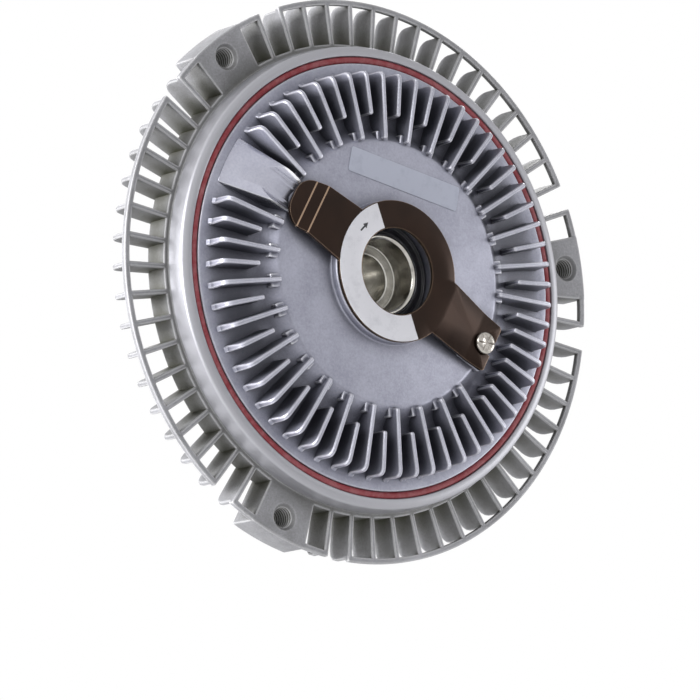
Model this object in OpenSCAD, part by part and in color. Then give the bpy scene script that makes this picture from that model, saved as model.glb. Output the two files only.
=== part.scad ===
// Viscous fan clutch for a belt-driven engine fan, sizes in millimetres.
// The hub is held by one centre screw, the finned housing turns on a ball bearing around it,
// and a bimetal strip on the cover opens the oil valve as the air warms.
// Sections are drawn as radius and height over the hub's mounting face, front upwards,
// and as_fitted() then lays the axis level, with the front facing -Y.

/* [Fan flange] */
// Angle of the first fan hole, seen from the front
fan_hole_clock = 9; // [0:1:119]
// Distance of the fan holes from the flange's edge
fan_hole_edge = 7; // [6:0.25:9]
// Core of the tapped fan holes
fan_hole_d = 6.8; // [5:0.1:8.5]
// Width of the lead-in chamfer of a fan hole
fan_hole_chamfer_d = 9.2; // [8.6:0.1:11]
// Arc of the solid pad round each fan hole, in degrees
pad_angle = 13.4; // [12:0.2:16]
// Depth of the pads behind the fan seat
pad_depth = 12; // [9:0.5:14]
// Outer diameter of the flange band
flange_d = 192; // [190:0.5:202]
// Radial width of the band
band_w = 1.9; // [1.4:0.1:3]
// Axial thickness of the band
band_t = 2.1; // [1.5:0.1:4]
// Vane places round the flange, some of them taken by the pads
vane_count = 60; // [54:3:66]
// Thickness of a vane
vane_t = 1.7; // [1.2:0.1:2.2]
// Depth of the vanes behind the fan seat
vane_depth = 11.2; // [9:0.2:11.8]
// Rounding of the vanes' outer rear corners
vane_round_r = 3.5; // [1:0.5:4]

/* [Housing] */
// Outer diameter of the rim round the cover
rim_d = 158; // [156:0.5:164]
// Wall of the rim
rim_wall = 4; // [3.6:0.1:5]
// Height of the rim in front of the fan seat
rim_stand = 8; // [6:0.5:10]
// Flat lip left at the front of the rim
rim_lip_w = 1.6; // [0.8:0.1:2.2]
// Drop of the bevel at the rim's outer edge
rim_bevel_h = 1; // [0.5:0.1:2]
// Ledge between the rim and the open cells
ledge_w = 1.6; // [0.8:0.1:2.4]
// Depth of the cover's seat below the rim's front
cover_seat_depth = 7; // [6:0.5:9]
// Diameter of the oil chamber
chamber_d = 140; // [138:0.5:143]
// Thickness of the back wall
back_wall = 4.4; // [3:0.2:6]
// Outer diameter of the bearing boss
boss_d = 66; // [63:0.5:72]
// Boss left behind the bearing's retaining ring
boss_rim = 2; // [1.5:0.1:4]
// Wall in front of the bearing
bearing_lip = 6; // [5:0.5:9]
// Number of fins on the back
rear_fin_count = 30; // [18:1:36]
// Thickness of a rear fin at its edge
rear_fin_t = 1.8; // [1.2:0.1:2.6]
// Height of the rear fins beside the boss
rear_fin_h = 13; // [8:0.5:15]

/* [Cover fins] */
// Number of fin places, long and short by turns
fin_count = 60; // [48:2:64]
// Thickness of a fin at its edge
fin_t = 1.5; // [1:0.1:1.8]
// Thickness of a fin at its root
fin_root_t = 2.3; // [1.8:0.1:2.8]
// Height of the fins over the cover's outer ring
fin_h = 9; // [7.6:0.2:11]
// Rounding of the fins' outer shoulders
fin_round_r = 2.4; // [1:0.2:4]
// Inner end of the long fins, from the axis
long_fin_r = 45.6; // [45.4:0.1:47]
// Inner end of the short fins, from the axis
short_fin_r = 53.7; // [52:0.1:57]
// Flat ring left outside the fins
cover_ring_w = 3; // [2:0.2:4.4]
// Rise of the channel floor towards the middle
floor_rise = 1.5; // [0:0.1:2.5]

/* [Cover face] */
// Wall of the cover
cover_t = 4; // [3:0.2:4.6]
// Height of the flat middle over the outer ring
plateau_h = 7; // [6:0.2:7.4]
// Radius of the flat middle
plateau_r = 45.2; // [44:0.1:46]
// Radius where the slope of the middle meets the channels
slope_foot_r = 50.5; // [49.5:0.1:51.5]
// Width of the tab at the foot of each long fin
tab_w = 4.6; // [3:0.2:5]
// Drop of the tabs below the flat middle
tab_drop = 0.3; // [0.1:0.1:1]
// Outer end of the tabs, from the axis
tab_reach = 48.5; // [47.5:0.1:49.5]
// Outer diameter of the collar under the strip
collar_d = 48; // [44:0.5:50]
// Height of the collar
collar_h = 3.3; // [2.8:0.1:5]
// Half angle of the smooth saddle under the strip's free end
saddle_half_angle = 7.4; // [5:0.2:8]
// Outer end of the saddle's level top, from the axis
saddle_top_r = 51.5; // [50:0.1:54]
// Rounding of the trough along the saddle's slope
trough_r = 12; // [8:0.5:20]
// Depth of the trough at the saddle's top, running out at its foot
trough_depth = 1.6; // [0.6:0.1:2]
// Gap between the strip's free end and the pocket that it lies in
tip_gap = 1; // [0.6:0.1:1.6]
// Size of the rating label, length
label_l = 46; // [30:1:50]
// Size of the rating label, height
label_w = 8.6; // [6:0.2:10]
// Thickness of the labels
label_t = 0.15; // [0.1:0.05:0.3]

/* [Sealing] */
// Radial width of the red ring between the cover and the rim
seal_ring_w = 2.4; // [1.6:0.1:3]
// Height of the red ring
seal_ring_h = 2.4; // [1.6:0.1:3]
// Outer diameter of the hub seal
hub_seal_d = 37; // [34:0.5:40]
// Width of the hub seal
hub_seal_w = 7; // [5:0.5:7.6]
// Depth of the hub seal below the cover's flat middle
hub_seal_recess = 3.8; // [2.6:0.1:4.6]

/* [Bimetal strip] */
// Thickness of the strip
strip_t = 1.2; // [0.8:0.1:1.6]
// Angle of the strip's free end, seen from the front
strip_angle = 152; // [148:1:156]
// Outer diameter of the strip's ring
strip_ring_d = 48; // [46:0.5:50]
// Hole in the strip's ring
strip_hole_d = 29.4; // [28:0.2:34]
// Width of the arms where they leave the ring
arm_root_w = 20.6; // [18:0.2:22]
// Width of the arms near their ends
arm_end_w = 17.6; // [15:0.2:18]
// Reach of the rounded free end from the axis
tip_reach = 46.2; // [44:0.1:46.4]
// Start of the joggle in the free arm
joggle_start = 36.7; // [35.5:0.1:37.5]
// Length of the joggle
joggle_l = 3.7; // [3:0.1:4.5]
// Drop of both arms' ends below the ring
arm_drop = 2.2; // [1.6:0.1:2.4]
// Reach of the held end from the axis
held_reach = 47; // [46:0.1:48.5]
// Distance of the holding stud from the axis
stud_reach = 43; // [41.5:0.1:43.5]
// Shank of the holding stud
stud_d = 4.6; // [3.6:0.2:5.6]
// Head of the holding stud
stud_head_d = 7.8; // [6.8:0.2:9]
// Height of the stud's head
stud_head_h = 1.8; // [1.2:0.1:2.4]
// Depth of the stud in the cover
stud_depth = 5; // [3:0.2:6]
// Length of the block under the held end
held_seat_l = 11; // [9:0.5:12]

/* [Valve] */
// Thickness of the partition plate
plate_t = 1.2; // [0.8:0.1:1.6]
// Distance of the control pin from the axis
pin_reach = 31; // [29.5:0.1:32]
// Diameter of the control pin
pin_d = 3; // [2.4:0.1:4]
// Wall of the rubber ring round the control pin
pin_seal_w = 1.7; // [1.2:0.1:2.2]
// Height of the rubber ring round the control pin
pin_seal_h = 2; // [1.2:0.1:2.8]
// Width of the valve lever
lever_w = 9; // [7:0.5:10]
// Thickness of the valve lever
lever_t = 0.5; // [0.4:0.1:0.8]
// Half of the arc that the lever spans round the axis
lever_half_angle = 35; // [30:1:36]
// Shank of the rivet at the lever's tail
lever_rivet_d = 3.2; // [2.4:0.1:4]
// Oil port under the lever's end
port_d = 5; // [3:0.2:6]

/* [Bearing] */
// Bore of the ball bearing
bearing_bore = 30; // [30:0.5:32]
// Outer diameter of the ball bearing
bearing_od = 55; // [53:0.5:57]
// Width of the ball bearing
bearing_w = 13; // [12:0.5:16]
// Diameter of a ball
ball_d = 7.2; // [6.4:0.1:7.6]
// Number of balls
ball_count = 11; // [9:1:12]
// Thickness of the bearing shields
shield_t = 0.6; // [0.4:0.1:0.8]
// Thickness of both retaining rings
clip_t = 1.2; // [1:0.1:1.6]
// Radial width of the hub's retaining ring
hub_clip_w = 3.9; // [3:0.1:4.4]
// Depth of the hub's groove for its retaining ring
hub_groove = 0.7; // [0.5:0.1:0.8]
// Radial width of the housing's retaining ring
housing_clip_w = 3.5; // [2.5:0.1:4]
// Depth of the housing's groove for its retaining ring
housing_groove = 1.5; // [1:0.1:2]

/* [Drive hub] */
// Clearance hole of the centre screw
screw_bore_d = 16.4; // [12:0.2:18]
// Diameter of the screw head's seat
screw_seat_d = 24; // [20:0.5:25]
// Depth of the screw head's seat
screw_seat_depth = 10.2; // [8:0.2:14]
// Diameter of the hub's nose inside the seal
nose_d = 28; // [27:0.2:28.6]
// Length of the nose in front of the seal
nose_stand = 1; // [0.4:0.1:2]
// Diameter of the rotor's seat on the hub
rotor_seat_d = 29; // [28.8:0.1:29.6]
// Diameter of the neck behind the bearing
neck_d = 36; // [34:0.5:38]
// Diameter of the mounting flange
hub_flange_d = 50; // [44:0.5:56]
// Thickness of the mounting flange
hub_flange_t = 5; // [4:0.5:9]
// Running gap between the flange and the housing's boss
flange_gap = 1; // [0.6:0.1:2]
// Centring recess in the mounting face
pilot_d = 26; // [22:0.5:34]
// Depth of the centring recess
pilot_depth = 3.5; // [2:0.5:4]

/* [Rotor] */
// Outer diameter of the rotor
rotor_d = 132; // [130:0.5:134]
// Thickness of the rotor's disc
rotor_t = 2.4; // [1.8:0.1:3.4]
// Rings on the back of the rotor
land_count = 5; // [3:1:5]
// Radius of the innermost ring
land_first_r = 44; // [40:0.5:45]
// Spacing of the rings
land_pitch = 4; // [3.6:0.1:4.2]
// Width of a ring
land_w = 1.6; // [1:0.1:1.7]
// Height of a ring
land_h = 3.5; // [2:0.1:5]
// Gap at the rings' tips
rotor_gap = 0.7; // [0.4:0.1:1.2]
// Gap between the rotor and the partition plate
rotor_front_gap = 2; // [1.6:0.1:3]
// Diameter of the rotor's boss
rotor_boss_d = 42; // [38:0.5:45]

/* [Fits] */
// Radial clearance of a running fit
run_gap = 0.05; // [0.02:0.01:0.1]
// Clearance between pieces that move apart
rest_gap = 0.3; // [0.2:0.05:0.5]
// Clearance of the balls in their tracks
ball_gap = 0.1; // [0.05:0.01:0.12]

/* [Hidden] */
$fn = 120;

// Overshoot of a cutter past the face that it opens
cut = 1;

// Heights over the mounting face, from the back to the front
boss_end_z = hub_flange_t + flange_gap;
bearing_rear_z = boss_end_z + boss_rim + clip_t;
bearing_front_z = bearing_rear_z + bearing_w;
back_face_z = bearing_front_z + bearing_lip;
back_wall_z = back_face_z - back_wall;
rotor_back_z = back_face_z + rotor_gap + land_h;
rotor_front_z = rotor_back_z + rotor_t;
seat_z = rotor_front_z + rotor_front_gap;
plate_front_z = seat_z + plate_t;
rim_front_z = seat_z + cover_seat_depth;
fan_seat_z = rim_front_z - rim_stand;
ring_z = rim_front_z;
fin_top_z = ring_z + fin_h;
plateau_z = ring_z + plateau_h;
collar_z = plateau_z + collar_h;
strip_z = collar_z + rest_gap;
arm_low_z = strip_z - arm_drop;
strip_seat_z = arm_low_z - rest_gap;
seal_front_z = plateau_z - hub_seal_recess;
seal_back_z = seal_front_z - hub_seal_w;
nose_z = seal_front_z + nose_stand;
screw_seat_z = nose_z - screw_seat_depth;
lever_z = plate_front_z + rest_gap;
ceiling_z = plateau_z - cover_t;
inner_face_z = ring_z - cover_t;

// Radii of the housing and the cover
rim_r = rim_d / 2;
rim_bore_r = rim_r - rim_wall;
band_r = flange_d / 2;
fan_hole_r = band_r - fan_hole_edge;
cell_r = rim_r + ledge_w;
chamber_r = chamber_d / 2;
cover_r = rim_bore_r - seal_ring_w;
fin_out_r = cover_r - cover_ring_w;
fin_pitch = 360 / fin_count;
vane_pitch = 360 / vane_count;
bearing_lip_r = bearing_od / 2 - 2.5;

// The lever's ends lie on a chord that passes under the control pin
lever_reach = pin_reach / cos(lever_half_angle);
lever_half_l = pin_reach * tan(lever_half_angle);

// Radii of the bearing
ball_r = ball_d / 2;
ball_track_r = (bearing_bore + bearing_od) / 4;
ball_mid_z = (bearing_rear_z + bearing_front_z) / 2;
race_gap = ball_r * 0.55;
inner_race_r = ball_track_r - race_gap;
outer_race_r = ball_track_r + race_gap;
shield_seat_w = 0.8;
shield_recess = 0.5;

// Lays the axis level with the front facing -Y
module as_fitted() {
    rotate([90, 0, 0]) children();
}

// A ring or disc between two radii, from height z upwards
module ring(outer_r, inner_r, z, h) {
    translate([0, 0, z]) difference() {
        cylinder(r = outer_r, h = h);
        translate([0, 0, -cut]) cylinder(r = inner_r, h = h + 2 * cut);
    }
}

// A pie slice out to radius r, as an area
module slice(r, from, to) {
    reach = r / cos((to - from) / 2);
    polygon([[0, 0], reach * [cos(from), sin(from)], reach * [cos(to), sin(to)]]);
}

// One radial fin with a draft: thin at height top_z, thicker at height root_z
module radial_fin(from_r, to_r, root_z, top_z, root_t, top_t) {
    translate([from_r, 0, 0]) rotate([90, 0, 90]) linear_extrude(to_r - from_r)
        polygon([[-root_t / 2, root_z], [root_t / 2, root_z], [top_t / 2, top_z], [-top_t / 2, top_z]]);
}

// A square corner piece that cuts a rounding of radius r, with the corner at the origin
module corner_cut(r) {
    difference() {
        translate([-r, -r]) square(r + cut);
        translate([-r, -r]) circle(r);
    }
}

// A retaining ring with its opening, in degrees, at the given angle
clip_opening = 30;
module open_ring(outer_r, inner_r, z, opening, at) {
    difference() {
        ring(outer_r, inner_r, z, clip_t);
        translate([0, 0, z - cut]) linear_extrude(clip_t + 2 * cut)
            slice(outer_r + cut, at - opening / 2, at + opening / 2);
    }
}

// Places its children at a polar place, turned to face outwards
module at_polar(angle, r) {
    rotate(angle) translate([r, 0, 0]) children();
}

// The three sectors of the flange
module each_pad() {
    for (i = [0 : 2]) rotate(fan_hole_clock + 120 * i) children();
}

// Drive hub: turned steel, bored for the centre screw
module drive_hub() {
    shoulder_z = bearing_front_z + clip_t + 3.4;
    groove_r = bearing_bore / 2 - hub_groove;
    edge = 0.8;
    color("#8f8f90") as_fitted() difference() {
        rotate_extrude() polygon([
            [0, 0], [hub_flange_d / 2 - edge, 0], [hub_flange_d / 2, edge],
            [hub_flange_d / 2, hub_flange_t - edge], [hub_flange_d / 2 - edge, hub_flange_t],
            [neck_d / 2, hub_flange_t], [neck_d / 2, bearing_rear_z],
            [bearing_bore / 2, bearing_rear_z], [bearing_bore / 2, bearing_front_z],
            [groove_r, bearing_front_z], [groove_r, bearing_front_z + clip_t],
            [bearing_bore / 2, bearing_front_z + clip_t], [bearing_bore / 2, shoulder_z],
            [rotor_seat_d / 2, shoulder_z], [rotor_seat_d / 2, rotor_front_z],
            [nose_d / 2, rotor_front_z + (rotor_seat_d - nose_d) / 2],
            [nose_d / 2, nose_z - edge / 2], [nose_d / 2 - edge / 2, nose_z], [0, nose_z]]);
        translate([0, 0, -cut]) cylinder(d = screw_bore_d, h = nose_z + 2 * cut);
        translate([0, 0, screw_seat_z]) cylinder(d = screw_seat_d, h = screw_seat_depth + cut);
        translate([0, 0, nose_z - edge])
            cylinder(d1 = screw_seat_d, d2 = screw_seat_d + 4 * edge, h = 2 * edge);
        translate([0, 0, -cut]) cylinder(d = pilot_d, h = pilot_depth + cut);
    }
}

// Rotor: a disc pressed on the hub, with rings on its back that shear the oil
module rotor_disc() {
    boss_back_z = bearing_front_z + clip_t + 3.4;
    color("#a9abae") as_fitted() {
        difference() {
            union() {
                ring(rotor_d / 2, rotor_seat_d / 2, rotor_back_z, rotor_t);
                ring(rotor_boss_d / 2, rotor_seat_d / 2, boss_back_z, rotor_front_z - boss_back_z);
                for (r = [for (i = [0 : land_count - 1]) land_first_r + i * land_pitch])
                    ring(r + land_w / 2, r - land_w / 2, rotor_back_z - land_h, land_h + rotor_t / 2);
            }
            // Oil holes that let the chamber drain evenly
            for (i = [0 : 3]) at_polar(90 * i, (rotor_boss_d / 2 + land_first_r) / 2)
                translate([0, 0, rotor_back_z - cut]) cylinder(d = port_d, h = rotor_t + 2 * cut);
        }
    }
}

module hub_retaining_ring() {
    groove_r = bearing_bore / 2 - hub_groove;
    color("#3a3a3c") as_fitted()
        open_ring(groove_r + hub_clip_w, groove_r, bearing_front_z, clip_opening, 250);
}

module bearing_retaining_ring() {
    groove_r = bearing_od / 2 + housing_groove;
    color("#3a3a3c") as_fitted()
        open_ring(groove_r, groove_r - housing_clip_w, bearing_rear_z - clip_t, clip_opening, 70);
}

// A torus that cuts the ball track into a bearing ring
module ball_track() {
    translate([0, 0, ball_mid_z]) rotate_extrude()
        translate([ball_track_r, 0]) circle(ball_r + ball_gap);
}

module bearing_inner_ring() {
    color("#b9bbbd") as_fitted() difference() {
        ring(inner_race_r, bearing_bore / 2, bearing_rear_z, bearing_w);
        ball_track();
    }
}

module bearing_outer_ring() {
    seat_h = shield_recess + shield_t;
    color("#b9bbbd") as_fitted() difference() {
        ring(bearing_od / 2, outer_race_r, bearing_rear_z, bearing_w);
        ball_track();
        // Steps that take the shields
        for (z = [bearing_rear_z - cut, bearing_front_z - seat_h])
            translate([0, 0, z]) cylinder(r = outer_race_r + shield_seat_w, h = seat_h + cut);
    }
}

module bearing_shield(z) {
    ring(outer_race_r + shield_seat_w, inner_race_r + rest_gap, z, shield_t);
}

module bearing_shield_front() {
    color("#77797c") as_fitted() bearing_shield(bearing_front_z - shield_recess - shield_t);
}

module bearing_shield_rear() {
    color("#77797c") as_fitted() bearing_shield(bearing_rear_z + shield_recess);
}

// Places its children at every ball
module each_ball() {
    for (i = [0 : ball_count - 1])
        rotate(i * 360 / ball_count) translate([ball_track_r, 0, ball_mid_z]) children();
}

module bearing_balls() {
    color("#d2d4d6") as_fitted() each_ball() sphere(ball_r);
}

// Cage: a ring with a round pocket for each ball
module bearing_cage() {
    cage_half_w = 0.9;
    cage_h = ball_d + 1.6;
    color("#6b5f43") as_fitted() difference() {
        ring(ball_track_r + cage_half_w, ball_track_r - cage_half_w, ball_mid_z - cage_h / 2, cage_h);
        each_ball() rotate([0, 90, 0]) cylinder(r = ball_r + ball_gap, h = 4 * cage_half_w, center = true);
    }
}

// Section of the housing without its vanes and fins
module housing_section() {
    bevel_r = rim_bore_r + rim_lip_w;
    polygon([
        [rim_bore_r, rim_front_z], [bevel_r, rim_front_z], [rim_r - 0.4, rim_front_z - rim_bevel_h],
        [rim_r, fan_seat_z], [cell_r, fan_seat_z], [cell_r, back_wall_z + 2.5], [cell_r - 2, back_wall_z],
        [boss_d / 2, back_wall_z], [boss_d / 2 - 0.6, boss_end_z], [bearing_od / 2, boss_end_z],
        [bearing_od / 2, bearing_rear_z - clip_t], [bearing_od / 2 + housing_groove, bearing_rear_z - clip_t],
        [bearing_od / 2 + housing_groove, bearing_rear_z], [bearing_od / 2, bearing_rear_z],
        [bearing_od / 2, bearing_front_z], [bearing_lip_r, bearing_front_z],
        [bearing_lip_r, back_face_z], [chamber_r, back_face_z], [chamber_r, seat_z], [rim_bore_r, seat_z]]);
}

// Side shape of the vanes, rounded at their outer rear corner
module vane_section() {
    tip_r = band_r - band_w / 2;
    tip_z = fan_seat_z - vane_depth;
    root_r = rim_bore_r + rim_wall / 2;
    difference() {
        polygon([[root_r, fan_seat_z], [tip_r, fan_seat_z], [tip_r, tip_z], [root_r, tip_z]]);
        translate([tip_r, tip_z]) mirror([0, 1]) corner_cut(vane_round_r);
    }
}

// Side shape of the rear fins, tall beside the boss and falling to the rim
module rear_fin_section() {
    low_h = rear_fin_h * 0.15;
    polygon([[boss_d / 2 - 2, back_wall_z + cut], [cell_r - 4, back_wall_z + cut],
        [cell_r - 4, back_wall_z - low_h], [(boss_d / 2 + cell_r) / 2, back_wall_z - rear_fin_h * 0.75],
        [boss_d / 2 + 3, back_wall_z - rear_fin_h], [boss_d / 2 - 2, back_wall_z - rear_fin_h]]);
}

// All vanes that stand clear of the pads, as an area seen from the front
module vane_pattern() {
    per_pad = vane_count / 3;
    each_pad() for (i = [2 : per_pad - 2]) rotate(i * vane_pitch)
        translate([rim_bore_r + rim_wall / 2, -vane_t / 2])
            square([band_r - band_w / 2 - rim_bore_r - rim_wall / 2, vane_t]);
}

// The band, opened on both sides of each pad by one cell
module band_pattern() {
    half_vane = asin(vane_t / 2 / band_r);
    difference() {
        circle(band_r);
        circle(band_r - band_w);
        each_pad() for (side = [-1, 1]) rotate(side * 2.5 * vane_pitch)
            slice(band_r + cut, half_vane - vane_pitch / 2, vane_pitch / 2 - half_vane);
    }
}

// A pad for a fan screw, drawn about the first hole's direction
module pad_pattern() {
    pad_proud = 0.2;
    intersection() {
        difference() {
            circle(band_r + pad_proud);
            circle(rim_bore_r + rim_wall / 2);
        }
        slice(band_r + cut, -pad_angle / 2, pad_angle / 2);
    }
}

// Rear housing: die-cast aluminium with the vane ring, the fan pads and the bearing boss
module rear_housing() {
    land_r = land_first_r + land_pitch / 2;
    chamfer_h = (fan_hole_chamfer_d - fan_hole_d) / 2;
    color("#9b9ca1") as_fitted() difference() {
        union() {
            rotate_extrude() housing_section();
            intersection() {
                rotate_extrude() vane_section();
                linear_extrude(fan_seat_z) vane_pattern();
            }
            translate([0, 0, fan_seat_z - band_t]) linear_extrude(band_t) band_pattern();
            translate([0, 0, fan_seat_z - pad_depth]) linear_extrude(pad_depth) each_pad() pad_pattern();
            for (i = [0 : land_count - 1])
                ring(land_r + i * land_pitch + land_w / 2, land_r + i * land_pitch - land_w / 2,
                    back_face_z - cut, land_h + cut);
            intersection() {
                rotate_extrude() rear_fin_section();
                for (i = [0 : rear_fin_count - 1]) rotate((i + 0.5) * 360 / rear_fin_count)
                    radial_fin(boss_d / 2 - 3, cell_r, back_wall_z + 2 * cut,
                        back_wall_z - rear_fin_h - cut, rear_fin_t + 1, rear_fin_t);
            }
        }
        each_pad() translate([fan_hole_r, 0, fan_seat_z]) {
            translate([0, 0, -pad_depth - cut]) cylinder(d = fan_hole_d, h = pad_depth + 2 * cut);
            translate([0, 0, -chamfer_h])
                cylinder(d1 = fan_hole_d, d2 = fan_hole_chamfer_d + 2 * cut, h = chamfer_h + cut);
        }
    }
}

// Partition plate: steel, clamped under the cover, with the oil port and a return hole
module partition_plate() {
    return_r = rotor_d / 2 - 2;
    color("#8d9095") as_fitted() difference() {
        ring(rim_bore_r, rotor_seat_d / 2 + 1, seat_z, plate_t);
        at_polar(strip_angle - lever_half_angle, lever_reach)
            translate([0, 0, seat_z - cut]) cylinder(d = port_d, h = plate_t + 2 * cut);
        at_polar(strip_angle + lever_half_angle, lever_reach)
            translate([0, 0, seat_z - cut]) cylinder(d = lever_rivet_d, h = plate_t + 2 * cut);
        at_polar(wiper_angle + 6, return_r)
            translate([0, 0, seat_z - cut]) cylinder(d = port_d / 2, h = plate_t + 2 * cut);
    }
}

// Wiper block: scoops the oil at the rotor's edge and feeds the return hole
wiper_angle = 60;
module wiper_block() {
    block_h = rotor_front_gap + rotor_t / 2;
    color("#b08d4f") as_fitted() translate([0, 0, seat_z - block_h]) linear_extrude(block_h) intersection() {
        difference() {
            circle(chamber_r);
            circle(rotor_d / 2 + 2 * rest_gap);
        }
        slice(chamber_r + cut, wiper_angle - 4, wiper_angle + 4);
    }
}

// Valve lever: a spring strip that lifts off the port as the control pin lets it
module valve_lever() {
    color("#7d8085") as_fitted() at_polar(strip_angle, pin_reach) translate([0, 0, lever_z])
        linear_extrude(lever_t) difference() {
            union() {
                square([lever_w, 2 * lever_half_l], center = true);
                for (side = [-1, 1]) translate([0, side * lever_half_l]) circle(d = lever_w);
            }
            translate([0, lever_half_l]) circle(d = lever_rivet_d + 2 * rest_gap);
        }
}

// Rivet that holds the lever's tail to the plate
module lever_rivet() {
    head_z = lever_z + lever_t + 2 * rest_gap;
    head_h = 1;
    head_r = lever_rivet_d / 2 + 1.4;
    color("#a5a8ac") as_fitted() at_polar(strip_angle + lever_half_angle, lever_reach) {
        translate([0, 0, seat_z - head_h / 2]) cylinder(d = lever_rivet_d, h = head_z - seat_z + head_h);
        translate([0, 0, head_z]) cylinder(r = head_r, h = head_h);
        translate([0, 0, seat_z - head_h]) cylinder(r = head_r, h = head_h);
    }
}

// Section of the cover without its fins, tabs and saddle
module cover_section() {
    collar_r = collar_d / 2;
    seal_r = hub_seal_d / 2;
    seal_wall = 4;
    lip_w = 1.5;
    edge = 0.6;
    step_z = ring_z - seal_ring_h;
    ceiling_r = plateau_r - cover_t / 2;
    polygon([
        [rim_bore_r - run_gap, plate_front_z], [rim_bore_r - run_gap, step_z], [cover_r, step_z],
        [cover_r, ring_z], [fin_out_r, ring_z], [slope_foot_r, ring_z + floor_rise],
        [plateau_r, plateau_z], [collar_r, plateau_z], [collar_r, collar_z - edge],
        [collar_r - edge, collar_z], [seal_r + edge, collar_z], [seal_r, collar_z - edge],
        [seal_r, seal_back_z], [seal_r - lip_w, seal_back_z], [seal_r - lip_w, seal_back_z - edge],
        [seal_r + seal_wall, seal_back_z - edge], [seal_r + seal_wall, ceiling_z], [ceiling_r, ceiling_z],
        [slope_foot_r - cover_t / 2, inner_face_z], [chamber_r, inner_face_z], [chamber_r, plate_front_z]]);
}

// Side shape of the fins: a rounded outer shoulder over a steep outer end
module fin_section() {
    shoulder_r = fin_out_r - 0.8;
    difference() {
        polygon([[plateau_r - 2, inner_face_z + cut], [fin_out_r, inner_face_z + cut], [fin_out_r, ring_z],
            [shoulder_r, ring_z + 1], [shoulder_r, fin_top_z], [plateau_r - 2, fin_top_z]]);
        translate([shoulder_r, fin_top_z]) corner_cut(fin_round_r);
    }
}

// Degrees between fin i and the strip's given end
function fin_offset(i, end_angle) = abs((fan_hole_clock + i * fin_pitch - end_angle + 540) % 360 - 180);

// Fins stop clear of both ends of the strip
function fin_from(i) = i % 2 == 1 || fin_offset(i, strip_angle + 180) < 15 ? short_fin_r : long_fin_r;

// The fins and the tabs at the foot of the long ones
module cover_fins() {
    kept = [for (i = [0 : fin_count - 1]) if (fin_offset(i, strip_angle) > saddle_half_angle + 1) i];
    intersection() {
        rotate_extrude() fin_section();
        for (i = kept) rotate(fan_hole_clock + i * fin_pitch)
            radial_fin(fin_from(i), fin_out_r + cut, ring_z - cut, fin_top_z + cut, fin_root_t, fin_t);
    }
    for (i = kept) if (fin_from(i) == long_fin_r) rotate(fan_hole_clock + i * fin_pitch)
        translate([plateau_r - 2, -tab_w / 2, ring_z - cut])
            cube([tab_reach - plateau_r + 2, tab_w, plateau_h + cut - tab_drop]);
}

// The smooth saddle that falls from a pocket round the strip's free end to the outer ring
module saddle() {
    rest_r = joggle_start + joggle_l / 2;
    crest_z = arm_low_z + strip_t - rest_gap;
    fall = atan2(crest_z - trough_depth - ring_z, fin_out_r - saddle_top_r);
    lift = trough_r + rest_gap;
    difference() {
        intersection() {
            rotate_extrude() polygon([[rest_r, ring_z], [fin_out_r, ring_z - cut], [fin_out_r, ring_z],
                [saddle_top_r, crest_z], [rest_r, crest_z]]);
            translate([0, 0, ring_z - 2 * cut]) linear_extrude(crest_z - ring_z + 3 * cut)
                rotate(strip_angle) slice(fin_out_r + cut, -saddle_half_angle, saddle_half_angle);
        }
        at_polar(strip_angle, tip_reach - tip_round_r) translate([0, 0, strip_seat_z])
            cylinder(r = tip_round_r + tip_gap, h = crest_z - strip_seat_z + cut);
        at_polar(strip_angle, fin_out_r + lift * sin(fall)) translate([0, 0, ring_z + lift * cos(fall)])
            rotate([0, fall - 90, 0]) cylinder(r = trough_r, h = 2 * fin_out_r, center = true);
    }
}

// The block that carries the strip's held end
module held_seat() {
    inner_r = held_reach - held_seat_l;
    rotate(strip_angle + 180) translate([inner_r, -arm_end_w / 2, ring_z])
        cube([held_reach - inner_r, arm_end_w, strip_seat_z - ring_z]);
}

// Front cover: die-cast aluminium, finned, with the collar and guides for the strip and the pin
module front_cover() {
    guide_r = pin_d / 2 + 3;
    guide_l = 4;
    color("#a3a4ad") as_fitted() difference() {
        union() {
            rotate_extrude() cover_section();
            cover_fins();
            saddle();
            held_seat();
            at_polar(strip_angle, pin_reach) translate([0, 0, ceiling_z - guide_l])
                cylinder(r = guide_r, h = guide_l + cut);
        }
        at_polar(strip_angle, pin_reach) {
            translate([0, 0, ceiling_z - guide_l - cut])
                cylinder(r = pin_d / 2 + run_gap, h = cover_t + guide_l + 2 * cut);
            translate([0, 0, plateau_z - pin_seal_h]) cylinder(d = pin_seal_d, h = pin_seal_h + cut);
        }
        at_polar(strip_angle + 180, stud_reach) translate([0, 0, strip_seat_z - stud_depth])
            cylinder(d = stud_d, h = stud_depth + cut);
    }
}

// Sealing ring: red rubber pressed between the cover's edge and the rim's lip
module sealing_ring() {
    crown = 0.4;
    z = ring_z - seal_ring_h;
    color("#8f3038") as_fitted() rotate_extrude() polygon([
        [cover_r, z], [rim_bore_r, z], [rim_bore_r, ring_z - 2 * crown], [rim_bore_r - crown, ring_z - crown],
        [cover_r + crown, ring_z - crown], [cover_r, ring_z - 2 * crown]]);
}

// Hub seal: black rubber with a lip that runs on the hub's nose
module hub_seal() {
    seal_r = hub_seal_d / 2;
    lip_r = nose_d / 2 + run_gap;
    body_r = lip_r + 1;
    lip_h = 2;
    color("#1d1d1f") as_fitted() rotate_extrude() polygon([
        [seal_r, seal_back_z], [body_r, seal_back_z], [body_r, seal_front_z - lip_h - 1],
        [lip_r, seal_front_z - lip_h], [lip_r, seal_front_z - 0.5], [lip_r + 0.5, seal_front_z],
        [seal_r - 0.6, seal_front_z], [seal_r, seal_front_z - 0.6]]);
}

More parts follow.
